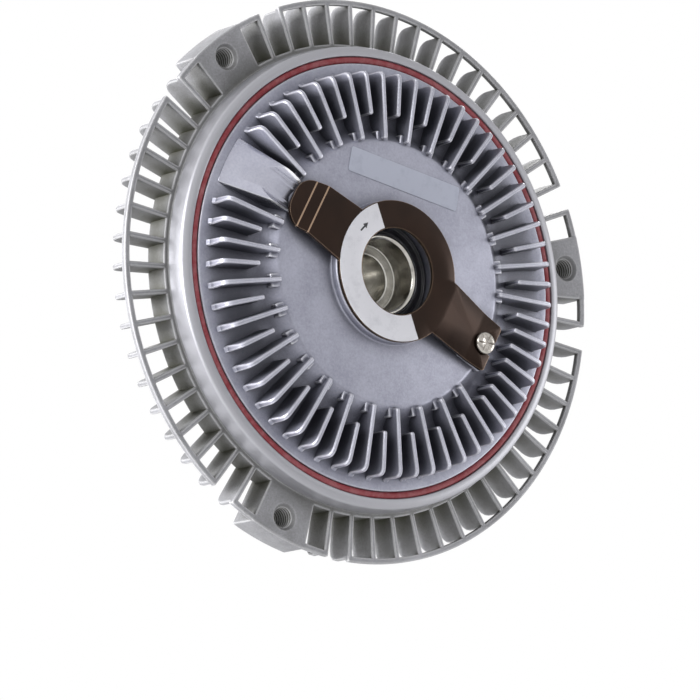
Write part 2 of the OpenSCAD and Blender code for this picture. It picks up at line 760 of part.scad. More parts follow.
// Control pin between the strip and the valve lever
module control_pin() {
    bottom_z = lever_z + lever_t + rest_gap / 2;
    top_z = strip_z - rest_gap;
    edge = 0.4;
    color("#c3c5c8") as_fitted() at_polar(strip_angle, pin_reach) rotate_extrude() polygon([
        [0, bottom_z], [pin_d / 2 - edge, bottom_z], [pin_d / 2, bottom_z + edge], [pin_d / 2, top_z - edge],
        [pin_d / 2 - edge, top_z], [0, top_z]]);
}

// Ring of rubber that keeps the oil in round the control pin
pin_seal_d = pin_d + 2 * pin_seal_w;
module pin_seal() {
    color("#1d1d1f") as_fitted() at_polar(strip_angle, pin_reach)
        ring(pin_seal_d / 2, pin_d / 2 + run_gap, plateau_z - pin_seal_h, pin_seal_h);
}

// Flat outline of the strip: a ring with a rounded free arm and a forked held arm
tip_round_r = arm_end_w / 2 + 0.4;
module strip_outline() {
    fork_w = stud_d + 2 * rest_gap;
    root_at = sqrt(pow(strip_ring_d / 2, 2) - pow(arm_root_w / 2, 2)) - 2;
    difference() {
        union() {
            circle(d = strip_ring_d);
            polygon([[-held_reach, -arm_end_w / 2], [-root_at, -arm_root_w / 2], [root_at, -arm_root_w / 2],
                [tip_reach, -arm_end_w / 2], [tip_reach, arm_end_w / 2], [root_at, arm_root_w / 2],
                [-root_at, arm_root_w / 2], [-held_reach, arm_end_w / 2]]);
        }
        circle(d = strip_hole_d);
        // Rounding of the free end
        translate([tip_reach - tip_round_r, 0]) difference() {
            translate([0, -arm_root_w]) square(2 * arm_root_w);
            circle(tip_round_r);
        }
        // Fork round the stud
        translate([-stud_reach, 0]) circle(d = fork_w);
        translate([-held_reach - cut, -fork_w / 2]) square([held_reach + cut - stud_reach, fork_w]);
    }
}

// Side shape of the strip, from its held end to its free end
module strip_side() {
    far = held_reach + tip_reach;
    joggle_end = joggle_start + joggle_l;
    bend_start = strip_ring_d / 2 - 1;
    bend_end = stud_reach - stud_head_d / 2 - 0.5;
    under = [[-far, arm_low_z], [-bend_end, arm_low_z], [-bend_start, strip_z], [joggle_start, strip_z],
        [joggle_end, arm_low_z], [far, arm_low_z]];
    count = len(under);
    polygon(concat(under, [for (i = [count - 1 : -1 : 0]) under[i] + [0, strip_t]]));
}

// Bimetal strip: one stamping, joggled at its free end and sloped down to the stud
module bimetal_strip() {
    color("#3f2f26") as_fitted() rotate(strip_angle) intersection() {
        translate([0, 0, arm_low_z - cut]) linear_extrude(arm_drop + strip_t + 2 * cut) strip_outline();
        translate([0, strip_ring_d, 0]) rotate([90, 0, 0]) linear_extrude(2 * strip_ring_d) strip_side();
    }
}

// Stud that holds the strip's fork down on the cover
module strip_stud() {
    head_z = arm_low_z + strip_t + rest_gap;
    edge = 0.6;
    color("#d8d8da") as_fitted() at_polar(strip_angle + 180, stud_reach) rotate_extrude() polygon([
        [0, strip_seat_z - stud_depth], [stud_d / 2, strip_seat_z - stud_depth], [stud_d / 2, head_z],
        [stud_head_d / 2, head_z], [stud_head_d / 2, head_z + stud_head_h - edge],
        [stud_head_d / 2 - 2 * edge, head_z + stud_head_h], [0, head_z + stud_head_h]]);
}

// Half-ring label on the strip's ring
strip_label_angle = 111;
module strip_label() {
    margin = 0.3;
    color("#e6e6ee") as_fitted() translate([0, 0, strip_z + strip_t]) linear_extrude(label_t)
        rotate(strip_label_angle) difference() {
            circle(strip_ring_d / 2 - margin);
            circle(strip_hole_d / 2 + margin);
            translate([-strip_ring_d, -strip_ring_d]) square([2 * strip_ring_d, strip_ring_d]);
        }
}

// Blank rating label on the cover's flat middle
cover_label_angle = 79;
module cover_label() {
    edge_gap = 1;
    at_r = (collar_d / 2 + plateau_r) / 2 - edge_gap;
    color("#c4c6d4") as_fitted() at_polar(cover_label_angle, at_r)
        translate([-label_w / 2, -label_l / 2, plateau_z]) cube([label_w, label_l, label_t]);
}

drive_hub();
rotor_disc();
hub_retaining_ring();
bearing_inner_ring();
bearing_balls();
bearing_cage();
bearing_outer_ring();
bearing_shield_front();
bearing_shield_rear();
bearing_retaining_ring();
rear_housing();
partition_plate();
wiper_block();
valve_lever();
lever_rivet();
front_cover();
sealing_ring();
hub_seal();
control_pin();
pin_seal();
bimetal_strip();
strip_stud();
strip_label();
cover_label();
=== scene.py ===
"""Looks of a viscous fan clutch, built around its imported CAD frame.

Sizes are in millimetres and angles in degrees. A piece is drawn with its axis along Z, as heights over the
hub's mounting face with the front upwards. When it is finished its mesh is turned, so that the front faces
-Y, and scaled to metres.
"""

import logging
import math
from dataclasses import dataclass
from enum import Enum
from typing import Callable, Iterable, Sequence

import bmesh
import bpy
import numpy as np
from mathutils import Matrix, Vector


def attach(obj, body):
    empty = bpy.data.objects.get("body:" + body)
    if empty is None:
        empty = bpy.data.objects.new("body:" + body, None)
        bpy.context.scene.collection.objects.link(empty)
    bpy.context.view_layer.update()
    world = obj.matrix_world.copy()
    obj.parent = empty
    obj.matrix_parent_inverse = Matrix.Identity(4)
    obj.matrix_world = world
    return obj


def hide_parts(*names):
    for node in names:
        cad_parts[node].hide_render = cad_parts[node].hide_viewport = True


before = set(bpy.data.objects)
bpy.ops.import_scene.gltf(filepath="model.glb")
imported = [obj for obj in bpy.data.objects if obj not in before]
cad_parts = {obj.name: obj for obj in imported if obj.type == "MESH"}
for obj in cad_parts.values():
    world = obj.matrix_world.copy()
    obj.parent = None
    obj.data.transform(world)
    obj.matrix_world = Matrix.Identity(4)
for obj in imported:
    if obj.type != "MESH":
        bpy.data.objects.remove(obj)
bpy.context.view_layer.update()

log = logging.getLogger("fan_clutch")

Corner = tuple[float, float, float]
Point = bmesh.types.BMVert
Shape = bmesh.types.BMesh
Socket = bpy.types.NodeSocket
Tree = bpy.types.NodeTree

MM = 0.001
FITTED = Matrix.Rotation(math.radians(90), 4, "X") @ Matrix.Scale(MM, 4)
# An edge between faces that meet at more than this stays sharp
SHARP_ANGLE = math.radians(32)
# Steps of a rounded corner in a profile, and degrees between the facets of an arc
ROUND_STEPS = 3
ARC_STEP = 1.5
# Overshoot of a cutter past the face that it opens, and a height above every piece
CUT = 1.0
ABOVE = 60.0
# Points closer than this are merged, in a turned shape and in one that was joined or cut
TURN_MERGE = 1e-4
JOIN_MERGE = 2e-3
# Edges shorter than this are slivers that a join leaves
SLIVER = 1e-3

# Angles round the axis of the strip's free arm and of the first fan hole
STRIP_ANGLE = 152.0
FIRST_HOLE = 9.0
# Places along the free arm where its joggle starts and ends
JOGGLE = (36.7, 40.4)


class Body(Enum):
    """Bodies of the mechanism that pieces ride on."""

    HUB = "hub"
    HOUSING = "housing"
    STRIP = "strip"


class Join(Enum):
    """Ways to combine two closed shapes."""

    ADD = "UNION"
    TAKE = "DIFFERENCE"


# Materials

# Sockets of the Mix node: its factor, what it mixes as numbers and as colours, and the mixed colour
FACTOR, NUMBER_A, NUMBER_B, COLOUR_A, COLOUR_B = 0, 2, 3, 6, 7
COLOUR_OUT = 2
# Rays that look for nearby faces, where a finish wears or darkens
NEAR_RAYS = 8
# Width of one ring of the Wave Texture node at a scale of 1, in metres
RING_AT_ONE = math.tau / 20


def linear(colour: str) -> tuple[float, float, float, float]:
    """Turns an sRGB hex colour to linear light.

    Args:
        colour: Six hex digits after a hash.

    Returns:
        Red, green, blue and full alpha.
    """
    parts = [int(colour[i:i + 2], 16) / 255 for i in (1, 3, 5)]
    red, green, blue = (p / 12.92 if p <= 0.04045 else ((p + 0.055) / 1.055) ** 2.4 for p in parts)
    return red, green, blue, 1.0


def per_metre(size_mm: float) -> float:
    """Pattern scale whose features are size_mm across."""
    return 1 / (size_mm * MM)


def add(tree: Tree, kind: str, inputs: dict | None = None, **settings: object) -> bpy.types.Node:
    """Adds a node with its settings and links.

    Args:
        tree: Node tree that takes the node.
        kind: Node type.
        inputs: Socket name or number to a value, or to the socket that feeds it.
        settings: Properties of the node.

    Returns:
        The new node.
    """
    node = tree.nodes.new(kind)
    for name, value in settings.items():
        setattr(node, name, value)
    for name, value in (inputs or {}).items():
        if isinstance(value, Socket):
            tree.links.new(value, node.inputs[name])
        else:
            node.inputs[name].default_value = value
    return node


def clouded(tree: Tree, where: Socket, size_mm: float, detail: float, roughness: float,
            span: tuple[float, float], colours: tuple[str, str]) -> tuple[Socket, Socket]:
    """Lays one colour in soft clouds over another.

    Args:
        tree: Node tree of the material.
        where: Object coordinates.
        size_mm: Size of a cloud.
        detail: Layers of finer clouds in it.
        roughness: Strength of the finer clouds.
        span: Cloud values at which the first colour ends and the second is full.
        colours: The two colours.

    Returns:
        The clouds, from 0 to 1, and the colour.
    """
    clouds = add(tree, "ShaderNodeTexNoise",
                 {"Vector": where, "Scale": per_metre(size_mm), "Detail": detail, "Roughness": roughness})
    level = add(tree, "ShaderNodeMapRange",
                {"Value": clouds.outputs["Fac"], "From Min": span[0], "From Max": span[1]})
    colour = add(tree, "ShaderNodeMix", {FACTOR: level.outputs[0], COLOUR_A: linear(colours[0]),
                                         COLOUR_B: linear(colours[1])}, data_type="RGBA")
    return clouds.outputs["Fac"], colour.outputs[COLOUR_OUT]


def painted_hollow_shade(tree: Tree, colour: Socket, depth: str, reach_mm: float, span: tuple[float, float]) -> Socket:
    """Darkens a colour in hollows as painted shade, where the hollows would lie in shadow.

    Args:
        tree: Node tree of the material.
        colour: Colour of the open faces.
        depth: Colour deep in a hollow.
        reach_mm: Distance at which a facing wall still counts.
        span: Openness at which the depth ends and the open colour is full.

    Returns:
        The colour.
    """
    # Painted shade: the fewer open directions a point has, the nearer its colour comes to the depth colour.
    opening = add(tree, "ShaderNodeAmbientOcclusion", {"Distance": reach_mm * MM}, samples=NEAR_RAYS)
    openness = add(tree, "ShaderNodeMapRange",
                   {"Value": opening.outputs["AO"], "From Min": span[0], "From Max": span[1]})
    mixed = add(tree, "ShaderNodeMix",
                {FACTOR: openness.outputs[0], COLOUR_A: linear(depth), COLOUR_B: colour}, data_type="RGBA")
    return mixed.outputs[COLOUR_OUT]


def edge_wear_and_highlight(tree: Tree, reach_mm: float, full_at: float = 0.6, most: float = 1.0) -> Socket:
    """Finds outer edges and thin ridges, where handling rubs a surface bright and where a painted highlight
    is laid.

    Args:
        tree: Node tree of the material.
        reach_mm: Distance from an edge that is rubbed and takes the painted highlight.
        full_at: Free share of the rays sent into the piece at which the wear and highlight are full.
        most: Wear and highlight at the edge itself.

    Returns:
        The wear and painted highlight, 0 on an open face.
    """
    # Wear and painted highlight: edges and ridges thinner than the reach come out bright.
    corner = add(tree, "ShaderNodeAmbientOcclusion", {"Distance": reach_mm * MM}, samples=NEAR_RAYS,
                 inside=True)
    wear = add(tree, "ShaderNodeMapRange",
               {"Value": corner.outputs["AO"], "From Min": 0.9, "From Max": full_at, "To Max": most})
    return wear.outputs[0]


class Finish:
    """A surface with a name of its own; subclasses lay out its nodes."""

    name: str

    def surface(self, tree: Tree, where: Socket) -> bpy.types.Node:
        """Lays out the nodes and returns the shader."""
        raise NotImplementedError

    def material(self) -> bpy.types.Material:
        """Makes the material once.

        Returns:
            The new or known material.
        """
        known = bpy.data.materials.get(self.name)
        if known:
            return known
        made = bpy.data.materials.new(self.name)
        made.use_nodes = True
        tree = made.node_tree
        tree.nodes.clear()
        where = add(tree, "ShaderNodeTexCoord").outputs["Object"]
        shader = self.surface(tree, where)
        add(tree, "ShaderNodeOutputMaterial", {"Surface": shader.outputs[0]})
        return made


@dataclass(frozen=True)
class CastAluminium(Finish):
    """Die-cast aluminium, shot-blasted.

    It gives the eye a satin grey with cloudy patches, a fine blasted grain, painted shade in its hollows and
    bright rubbed edges that are partly painted highlight.
    """

    name: str
    light: str
    dull: str
    hollow: str
    edge: str
    roughness: float
    metallic: float
    grain_mm: float = 0.7
    grain_share: float = 0.4
    grain_depth_mm: float = 0.12
    cloud_mm: float = 16.0
    hollow_mm: float = 7.0
    edge_mm: float = 0.9

    def surface(self, tree: Tree, where: Socket) -> bpy.types.Node:
        """Lays out clouds, painted shade in hollows, rubbed edges with painted highlight, and grain.

        Args:
            tree: Node tree of the material.
            where: Object coordinates.

        Returns:
            The shader.
        """
        clouds = add(tree, "ShaderNodeTexNoise",
                     {"Vector": where, "Scale": per_metre(self.cloud_mm), "Detail": 5.0, "Roughness": 0.62})
        grain = add(tree, "ShaderNodeTexNoise",
                    {"Vector": where, "Scale": per_metre(self.grain_mm), "Detail": 3.0, "Roughness": 0.6})
        mottle = add(tree, "ShaderNodeMix", {FACTOR: self.grain_share, NUMBER_A: clouds.outputs["Fac"],
                                             NUMBER_B: grain.outputs["Fac"]})
        patch = add(tree, "ShaderNodeMapRange",
                    {"Value": mottle.outputs[0], "From Min": 0.38, "From Max": 0.62})
        body = add(tree, "ShaderNodeMix", {FACTOR: patch.outputs[0], COLOUR_A: linear(self.dull),
                                           COLOUR_B: linear(self.light)}, data_type="RGBA")
        # Painted shade: hollows take the hollow colour.
        shaded = painted_hollow_shade(tree, body.outputs[COLOUR_OUT], self.hollow, self.hollow_mm, (0.35, 0.95))
        # Rubbed edges, lightened further as a painted highlight on thin ridges.
        wear_and_highlight = edge_wear_and_highlight(tree, self.edge_mm, most=0.95)
        colour = add(tree, "ShaderNodeMix", {FACTOR: wear_and_highlight, COLOUR_A: shaded, COLOUR_B: linear(self.edge)},
                     data_type="RGBA")
        gloss = add(tree, "ShaderNodeMapRange",
                    {"Value": clouds.outputs["Fac"], "From Min": 0.3, "From Max": 0.7,
                     "To Min": self.roughness + 0.08, "To Max": self.roughness - 0.06})
        relief = add(tree, "ShaderNodeBump", {"Height": grain.outputs["Fac"], "Strength": 0.35,
                                              "Distance": self.grain_depth_mm * MM})
        return add(tree, "ShaderNodeBsdfPrincipled",
                   {"Base Color": colour.outputs[COLOUR_OUT], "Metallic": self.metallic,
                    "Roughness": gloss.outputs[0], "Normal": relief.outputs[0]})


@dataclass(frozen=True)
class TurnedSteel(Finish):
    """Carbon steel, turned on a lathe and lightly oiled.

    It gives the eye rings round the axis, stains of oil, painted shade deep in its bore and bright edges that
    are partly painted highlight. The rings are drawn far wider than a real feed of 0.2 mm, so that they show.
    """

    name: str
    light: str
    dark: str
    depth: str
    edge: str
    roughness: float
    depth_mm: float = 16.0
    edge_mm: float = 1.1
    ring_mm: float = 3.46
    ring_depth_mm: float = 0.05
    stain_mm: float = 7.0

    def surface(self, tree: Tree, where: Socket) -> bpy.types.Node:
        """Lays out the tool's rings, oil stains, painted shade in the bore and bright edges with painted
        highlight.

        Args:
            tree: Node tree of the material.
            where: Object coordinates.

        Returns:
            The shader.
        """
        rings = add(tree, "ShaderNodeTexWave",
                    {"Vector": where, "Scale": RING_AT_ONE * per_metre(self.ring_mm), "Distortion": 0.4,
                     "Detail": 2.0}, wave_type="RINGS", rings_direction="Y")
        stains, steel = clouded(tree, where, self.stain_mm, 4.0, 0.6, (0.35, 0.6), (self.dark, self.light))
        # Painted shade: the deep bore takes the depth colour.
        bore_shaded = painted_hollow_shade(tree, steel, self.depth, self.depth_mm, (0.15, 0.55))
        wear_and_highlight = edge_wear_and_highlight(tree, self.edge_mm)
        colour = add(tree, "ShaderNodeMix", {FACTOR: wear_and_highlight, COLOUR_A: bore_shaded, COLOUR_B: linear(self.edge)},
                     data_type="RGBA")
        gloss = add(tree, "ShaderNodeMapRange",
                    {"Value": stains, "To Min": self.roughness - 0.08, "To Max": self.roughness + 0.12})
        relief = add(tree, "ShaderNodeBump", {"Height": rings.outputs["Fac"], "Strength": 0.2,
                                              "Distance": self.ring_depth_mm * MM})
        return add(tree, "ShaderNodeBsdfPrincipled",
                   {"Base Color": colour.outputs[COLOUR_OUT], "Metallic": 1.0, "Roughness": gloss.outputs[0],
                    "Normal": relief.outputs[0]})


@dataclass(frozen=True)
class TemperedBimetal(Finish):
    """Bimetal strip, rolled, tempered brown and oiled.

    It gives the eye a dark brown gloss with smudges of oil, tan cut edges that are partly painted highlight,
    and painted highlight lines along its bends.
    """

    name: str
    brown: str
    dark: str
    edge: str
    bends: tuple[float, ...]
    smudge_mm: float = 14.0
    edge_mm: float = 0.3
    bend_highlight_mm: float = 0.25

    def surface(self, tree: Tree, where: Socket) -> bpy.types.Node:
        """Lays out smudges, rubbed edges with painted highlight, and painted highlight lines along the bends.

        Args:
            tree: Node tree of the material.
            where: Object coordinates.

        Returns:
            The shader.
        """
        smudges, body = clouded(tree, where, self.smudge_mm, 3.0, 0.5, (0.0, 1.0), (self.dark, self.brown))
        aligned = add(tree, "ShaderNodeVectorRotate", {"Vector": where, "Angle": math.radians(STRIP_ANGLE)},
                      rotation_type="Y_AXIS")
        along = add(tree, "ShaderNodeSeparateXYZ", {"Vector": aligned.outputs[0]}).outputs["X"]
        wear_and_highlight = edge_wear_and_highlight(tree, self.edge_mm, full_at=0.5)
        # Painted highlight: a tan line across the arm at each bend, where the crease would catch the light.
        for bend in self.bends:
            line = add(tree, "ShaderNodeMath", {0: along, 1: bend * MM, 2: self.bend_highlight_mm * MM},
                       operation="COMPARE")
            wear_and_highlight = add(tree, "ShaderNodeMath", {0: wear_and_highlight, 1: line.outputs[0]}, operation="MAXIMUM").outputs[0]
        colour = add(tree, "ShaderNodeMix", {FACTOR: wear_and_highlight, COLOUR_A: body, COLOUR_B: linear(self.edge)},
                     data_type="RGBA")
        gloss = add(tree, "ShaderNodeMapRange", {"Value": smudges, "To Min": 0.12, "To Max": 0.34})
        return add(tree, "ShaderNodeBsdfPrincipled",
                   {"Base Color": colour.outputs[COLOUR_OUT], "Metallic": 0.8, "Roughness": gloss.outputs[0]})


@dataclass(frozen=True)
class MouldedRubber(Finish):
    """Nitrile or silicone rubber, moulded.

    It gives the eye a dull, slightly dusty colour with a soft sheen.
    """

    name: str
    colour: str
    dusty: str
    roughness: float = 0.55
    dust_mm: float = 3.0
    dust_depth_mm: float = 0.1

    def surface(self, tree: Tree, where: Socket) -> bpy.types.Node:
        """Lays out dust over the colour.

        Args:
            tree: Node tree of the material.
            where: Object coordinates.

        Returns:
            The shader.
        """
        dust, colour = clouded(tree, where, self.dust_mm, 5.0, 0.65, (0.4, 0.72), (self.colour, self.dusty))
        relief = add(tree, "ShaderNodeBump",
                     {"Height": dust, "Strength": 0.2, "Distance": self.dust_depth_mm * MM})
        return add(tree, "ShaderNodeBsdfPrincipled",
                   {"Base Color": colour, "Roughness": self.roughness, "Normal": relief.outputs[0]})


@dataclass(frozen=True)
class LabelFilm(Finish):
    """Polyester label film, or the ink printed on it.

    It gives the eye an even sheet with faint handling marks and slight ripples of the glue.
    """

    name: str
    colour: str
    soiled: str
    metallic: float = 0.0
    roughness: float = 0.35
    mark_mm: float = 5.0
    ripple_mm: float = 8.0
    ripple_depth_mm: float = 0.3

    def surface(self, tree: Tree, where: Socket) -> bpy.types.Node:
        """Lays out handling marks and ripples.

        Args:
            tree: Node tree of the material.
            where: Object coordinates.

        Returns:
            The shader.
        """
        _, colour = clouded(tree, where, self.mark_mm, 6.0, 0.7, (0.5, 0.8), (self.colour, self.soiled))
        ripple = add(tree, "ShaderNodeTexNoise",
                     {"Vector": where, "Scale": per_metre(self.ripple_mm), "Detail": 1.0})
        relief = add(tree, "ShaderNodeBump", {"Height": ripple.outputs["Fac"], "Strength": 0.15,
                                              "Distance": self.ripple_depth_mm * MM})
        return add(tree, "ShaderNodeBsdfPrincipled",
                   {"Base Color": colour, "Metallic": self.metallic, "Roughness": self.roughness,
                    "Normal": relief.outputs[0]})


@dataclass(frozen=True)
class WorkedMetal(Finish):
    """Steel, brass or aluminium, ground, pressed, turned or blackened.

    It gives the eye a clean metal with a faint mottle in its colour and gloss.
    """

    name: str
    light: str
    dark: str
    roughness: float
    metallic: float = 1.0
    mottle_mm: float = 2.5
    mottle_depth_mm: float = 0.05

    def surface(self, tree: Tree, where: Socket) -> bpy.types.Node:
        """Lays out the mottle.

        Args:
            tree: Node tree of the material.
            where: Object coordinates.

        Returns:
            The shader.
        """
        mottle, colour = clouded(tree, where, self.mottle_mm, 5.0, 0.65, (0.0, 1.0), (self.dark, self.light))
        gloss = add(tree, "ShaderNodeMapRange",
                    {"Value": mottle, "To Min": self.roughness - 0.1, "To Max": self.roughness + 0.1})
        relief = add(tree, "ShaderNodeBump",
                     {"Height": mottle, "Strength": 0.1, "Distance": self.mottle_depth_mm * MM})
        return add(tree, "ShaderNodeBsdfPrincipled",
                   {"Base Color": colour, "Metallic": self.metallic, "Roughness": gloss.outputs[0],
                    "Normal": relief.outputs[0]})


# Blue-grey satin cover with painted shade in its hollows and painted highlight on its edges, its saddle a
# lighter copy as painted highlight, and a rougher, duller housing whose hollows get painted shade tinted
# olive as a warm reflection
COVER_CAST = CastAluminium("cover_cast_aluminium", "#ACADBC", "#9697A6", "#45464F", "#ECECF2",
                           roughness=0.36, metallic=0.45)
# Saddle: lighter colours than the cover as painted highlight, and a glossier surface.
SADDLE_BRIGHTENED = CastAluminium("brightened_saddle_aluminium", "#BCBDCA", "#A6A7B6", "#5A5B64", "#F4F4F8",
                              roughness=0.22, metallic=0.7)
# Housing hollow colour: painted shade, tinted olive as a painted warm reflection.
HOUSING_CAST = CastAluminium("housing_cast_aluminium", "#A0A0A5", "#868689", "#3C3C2B", "#D4D4D6",
                             roughness=0.58, metallic=0.35, hollow_mm=9.0)
# Bright hub whose bore is painted nearly black as shade, with painted highlight on its edges
HUB_STEEL = TurnedSteel("turned_hub_steel", "#C6C4BE", "#A4A19A", "#1A1711", "#FBFAF6", roughness=0.2)
# Dark brown gloss with tan edges, partly painted highlight, and painted highlight lines at the joggle's bends
BIMETAL = TemperedBimetal("tempered_bimetal", "#35251D", "#1C1410", "#A08772", bends=JOGGLE)
# Dull red with pale dust, and black with a faint sheen
RED_RUBBER = MouldedRubber("red_silicone_rubber", "#8E2F38", "#A8666B")
BLACK_RUBBER = MouldedRubber("black_nitrile_rubber", "#2A2A2E", "#3C3C40", roughness=0.36)
# White sheet, silvery sheet and dark matt print
WHITE_FILM = LabelFilm("white_label_film", "#EBEBF2", "#D2D2DA")
SILVER_FILM = LabelFilm("silver_label_film", "#B6BACA", "#A2A6B8", metallic=0.2, roughness=0.32)
PRINT_INK = LabelFilm("dark_print_ink", "#26262C", "#34343A", roughness=0.5)
# Patchy bright stud, smooth bearing parts, even grey rim, greyer sheet, near-black rings and warm brass
STAKED_METAL = WorkedMetal("staked_stud_metal", "#D8D4CE", "#6E665E", roughness=0.2)
BEARING_STEEL = WorkedMetal("ground_bearing_steel", "#C9CBCD", "#9EA0A3", roughness=0.2)
RIM_TURNED = WorkedMetal("turned_rim_aluminium", "#A6A6AC", "#A0A0A6", roughness=0.4, metallic=0.65,
                         mottle_mm=1.2)
PRESSED_STEEL = WorkedMetal("pressed_shield_steel", "#8E9094", "#6A6C70", roughness=0.34)
BLACK_STEEL = WorkedMetal("phosphated_spring_steel", "#3C3C40", "#26262A", roughness=0.45, metallic=0.7)
PLATE_STEEL = WorkedMetal("rolled_plate_steel", "#9A9CA1", "#7C7E83", roughness=0.35)
SHEET_BRASS = WorkedMetal("machined_brass", "#B6924E", "#8C6C36", roughness=0.32)

# Mesh tools


def apart(first: float, second: float) -> float:
    """Degrees between two angles, the shorter way round."""
    return abs((first - second + 540) % 360 - 180)


def outline(points: Iterable[Sequence[float]]) -> tuple[Shape, list[Point]]:
    """Draws a closed loop of edges.

    Args:
        points: Its corners in order.

    Returns:
        A mesh of edges only, and its corners.
    """
    bm = bmesh.new()
    corners = [bm.verts.new(point) for point in points]
    for start, end in zip(corners, corners[1:] + corners[:1]):
        bm.edges.new((start, end))
    return bm, corners


def round_corner(bm: Shape, corner: Point, radius: float, segments: int = ROUND_STEPS) -> None:
    """Rounds a corner of an outline."""
    bmesh.ops.bevel(bm, geom=[corner], offset=radius, offset_type="OFFSET", segments=segments, profile=0.5,
                    affect="VERTICES", material=-1)


def round_edges(bm: Shape, edges: Iterable[bmesh.types.BMEdge], radius: float, segments: int = 2) -> None:
    """Rounds the given edges."""
    bmesh.ops.bevel(bm, geom=list(edges), offset=radius, offset_type="OFFSET", segments=segments, profile=0.5,
                    affect="EDGES", material=-1, clamp_overlap=True)


def sharp_edges(bm: Shape, least: float = 40.0) -> list[bmesh.types.BMEdge]:
    """Edges whose faces meet at more than least degrees."""
    return [e for e in bm.edges if e.is_manifold and e.calc_face_angle(0) > math.radians(least)]


def section(inner: float, outer: float, low: float, high: float,
            rounding: Sequence[float] = (0, 0, 0, 0)) -> list[Corner]:
    """Draws a rectangle as the corners of a profile.

    Args:
        inner: Smaller radius or X.
        outer: Larger radius or X.
        low: Lower height.
        high: Upper height.
        rounding: Rounding of its corners: inner low, outer low, outer high, inner high.

    Returns:
        The four corners.
    """
    places = ((inner, low), (outer, low), (outer, high), (inner, high))
    return [(x, z, radius) for (x, z), radius in zip(places, rounding)]


def profile(corners: Sequence[Corner]) -> Shape:
    """Draws a closed outline in the XZ plane with rounded corners.

    Args:
        corners: X, Z and rounding of each corner.

    Returns:
        A mesh of edges only.
    """
    bm, verts = outline((x, 0, z) for x, z, _ in corners)
    for vert, (_, _, rounding) in zip(verts, corners):
        if rounding:
            round_corner(bm, vert, rounding)
    return bm


def spin(bm: Shape, turn: float, steps: int) -> None:
    """Sweeps an outline round the axis, and merges the ends of a full turn."""
    bmesh.ops.spin(bm, geom=bm.verts[:] + bm.edges[:], cent=(0, 0, 0), axis=(0, 0, 1), dvec=(0, 0, 0),
                   angle=math.radians(turn), steps=steps, use_merge=turn == 360, use_duplicate=False)


def turned(shape: Shape, angle: float, axis: str = "Z") -> Shape:
    """Turns a shape about an axis and returns it."""
    bmesh.ops.rotate(shape, verts=shape.verts, cent=(0, 0, 0),
                     matrix=Matrix.Rotation(math.radians(angle), 3, axis))
    return shape


def moved(shape: Shape, offset: Sequence[float]) -> Shape:
    """Shifts a shape and returns it."""
    bmesh.ops.translate(shape, verts=shape.verts, vec=Vector(offset))
    return shape


def lathe(corners: Sequence[Corner], steps: int = 180) -> Shape:
    """Turns an outline all the way round the axis.

    Args:
        corners: Radius, height and rounding of each corner.
        steps: Facets round the axis.

    Returns:
        A closed mesh.
    """
    bm = profile(corners)
    spin(bm, 360, steps)
    bmesh.ops.remove_doubles(bm, verts=bm.verts, dist=TURN_MERGE)
    bmesh.ops.recalc_face_normals(bm, faces=bm.faces)
    return bm


def drill(radius: float, low: float, high: float, steps: int, rounding: float = 0.0) -> Shape:
    """Turns a round cutter with a rounded lower edge."""
    return lathe(section(0, radius, low, high, (0, rounding, 0, 0)), steps)


def arc(corners: Sequence[Corner], start: float, end: float, edge: float = 0.0) -> Shape:
    """Sweeps an outline round the axis from one angle to another, with closed ends.

    Args:
        corners: Radius, height and rounding of each corner.
        start: First angle.
        end: Last angle.
        edge: Rounding of the two ends' edges.

    Returns:
        A closed mesh.
    """
    bm = turned(profile(corners), start)
    spin(bm, end - start, max(4, round((end - start) / ARC_STEP)))
    bmesh.ops.holes_fill(bm, edges=[e for e in bm.edges if e.is_boundary], sides=0)
    bmesh.ops.recalc_face_normals(bm, faces=bm.faces)
    if edge:
        # The sweep itself makes faces of four sides only
        ends = [f for f in bm.faces if len(f.verts) > 4]
        round_edges(bm, {e for f in ends for e in f.edges}, edge)
    return bm


def thicken(bm: Shape) -> list[Point]:
    """Fills an outline and doubles it for a plate.

    Args:
        bm: The outline; it gets the faces.

    Returns:
        Corners of the far side, still in the place of the near ones.
    """
    side = bmesh.ops.contextual_create(bm, geom=bm.edges[:])["faces"]
    grown = bmesh.ops.extrude_face_region(bm, geom=side, use_keep_orig=True)["geom"]
    return [v for v in grown if isinstance(v, Point)]


def plate(corners: Sequence[Corner], width: Callable[[float], float], edge: float = 0.0) -> Shape:
    """Makes a plate on the XZ plane whose width may change with height.

    Args:
        corners: X, Z and rounding of each corner of the side shape.
        width: Full width at a height.
        edge: Rounding of all its edges.

    Returns:
        A closed mesh.
    """
    bm = profile(corners)
    far = thicken(bm)
    for vert in bm.verts:
        vert.co.y = -width(vert.co.z) / 2
    for vert in far:
        vert.co.y = width(vert.co.z) / 2
    bmesh.ops.recalc_face_normals(bm, faces=bm.faces)
    if edge:
        round_edges(bm, sharp_edges(bm), edge, segments=1)
    return bm


def around(shape: Shape, angles: Iterable[float]) -> Shape:
    """Repeats a shape round the axis.

    Args:
        shape: The shape, drawn at angle 0; it is used up.
        angles: Angles of the copies.

    Returns:
        All the copies in one mesh.
    """
    master = bpy.data.meshes.new("master")
    shape.to_mesh(master)
    shape.free()
    bm = bmesh.new()
    for angle in angles:
        first = len(bm.verts)
        bm.from_mesh(master)
        bm.verts.ensure_lookup_table()
        bmesh.ops.rotate(bm, verts=bm.verts[first:], cent=(0, 0, 0),
                         matrix=Matrix.Rotation(math.radians(angle), 3, "Z"))
    bpy.data.meshes.remove(master)
    return bm


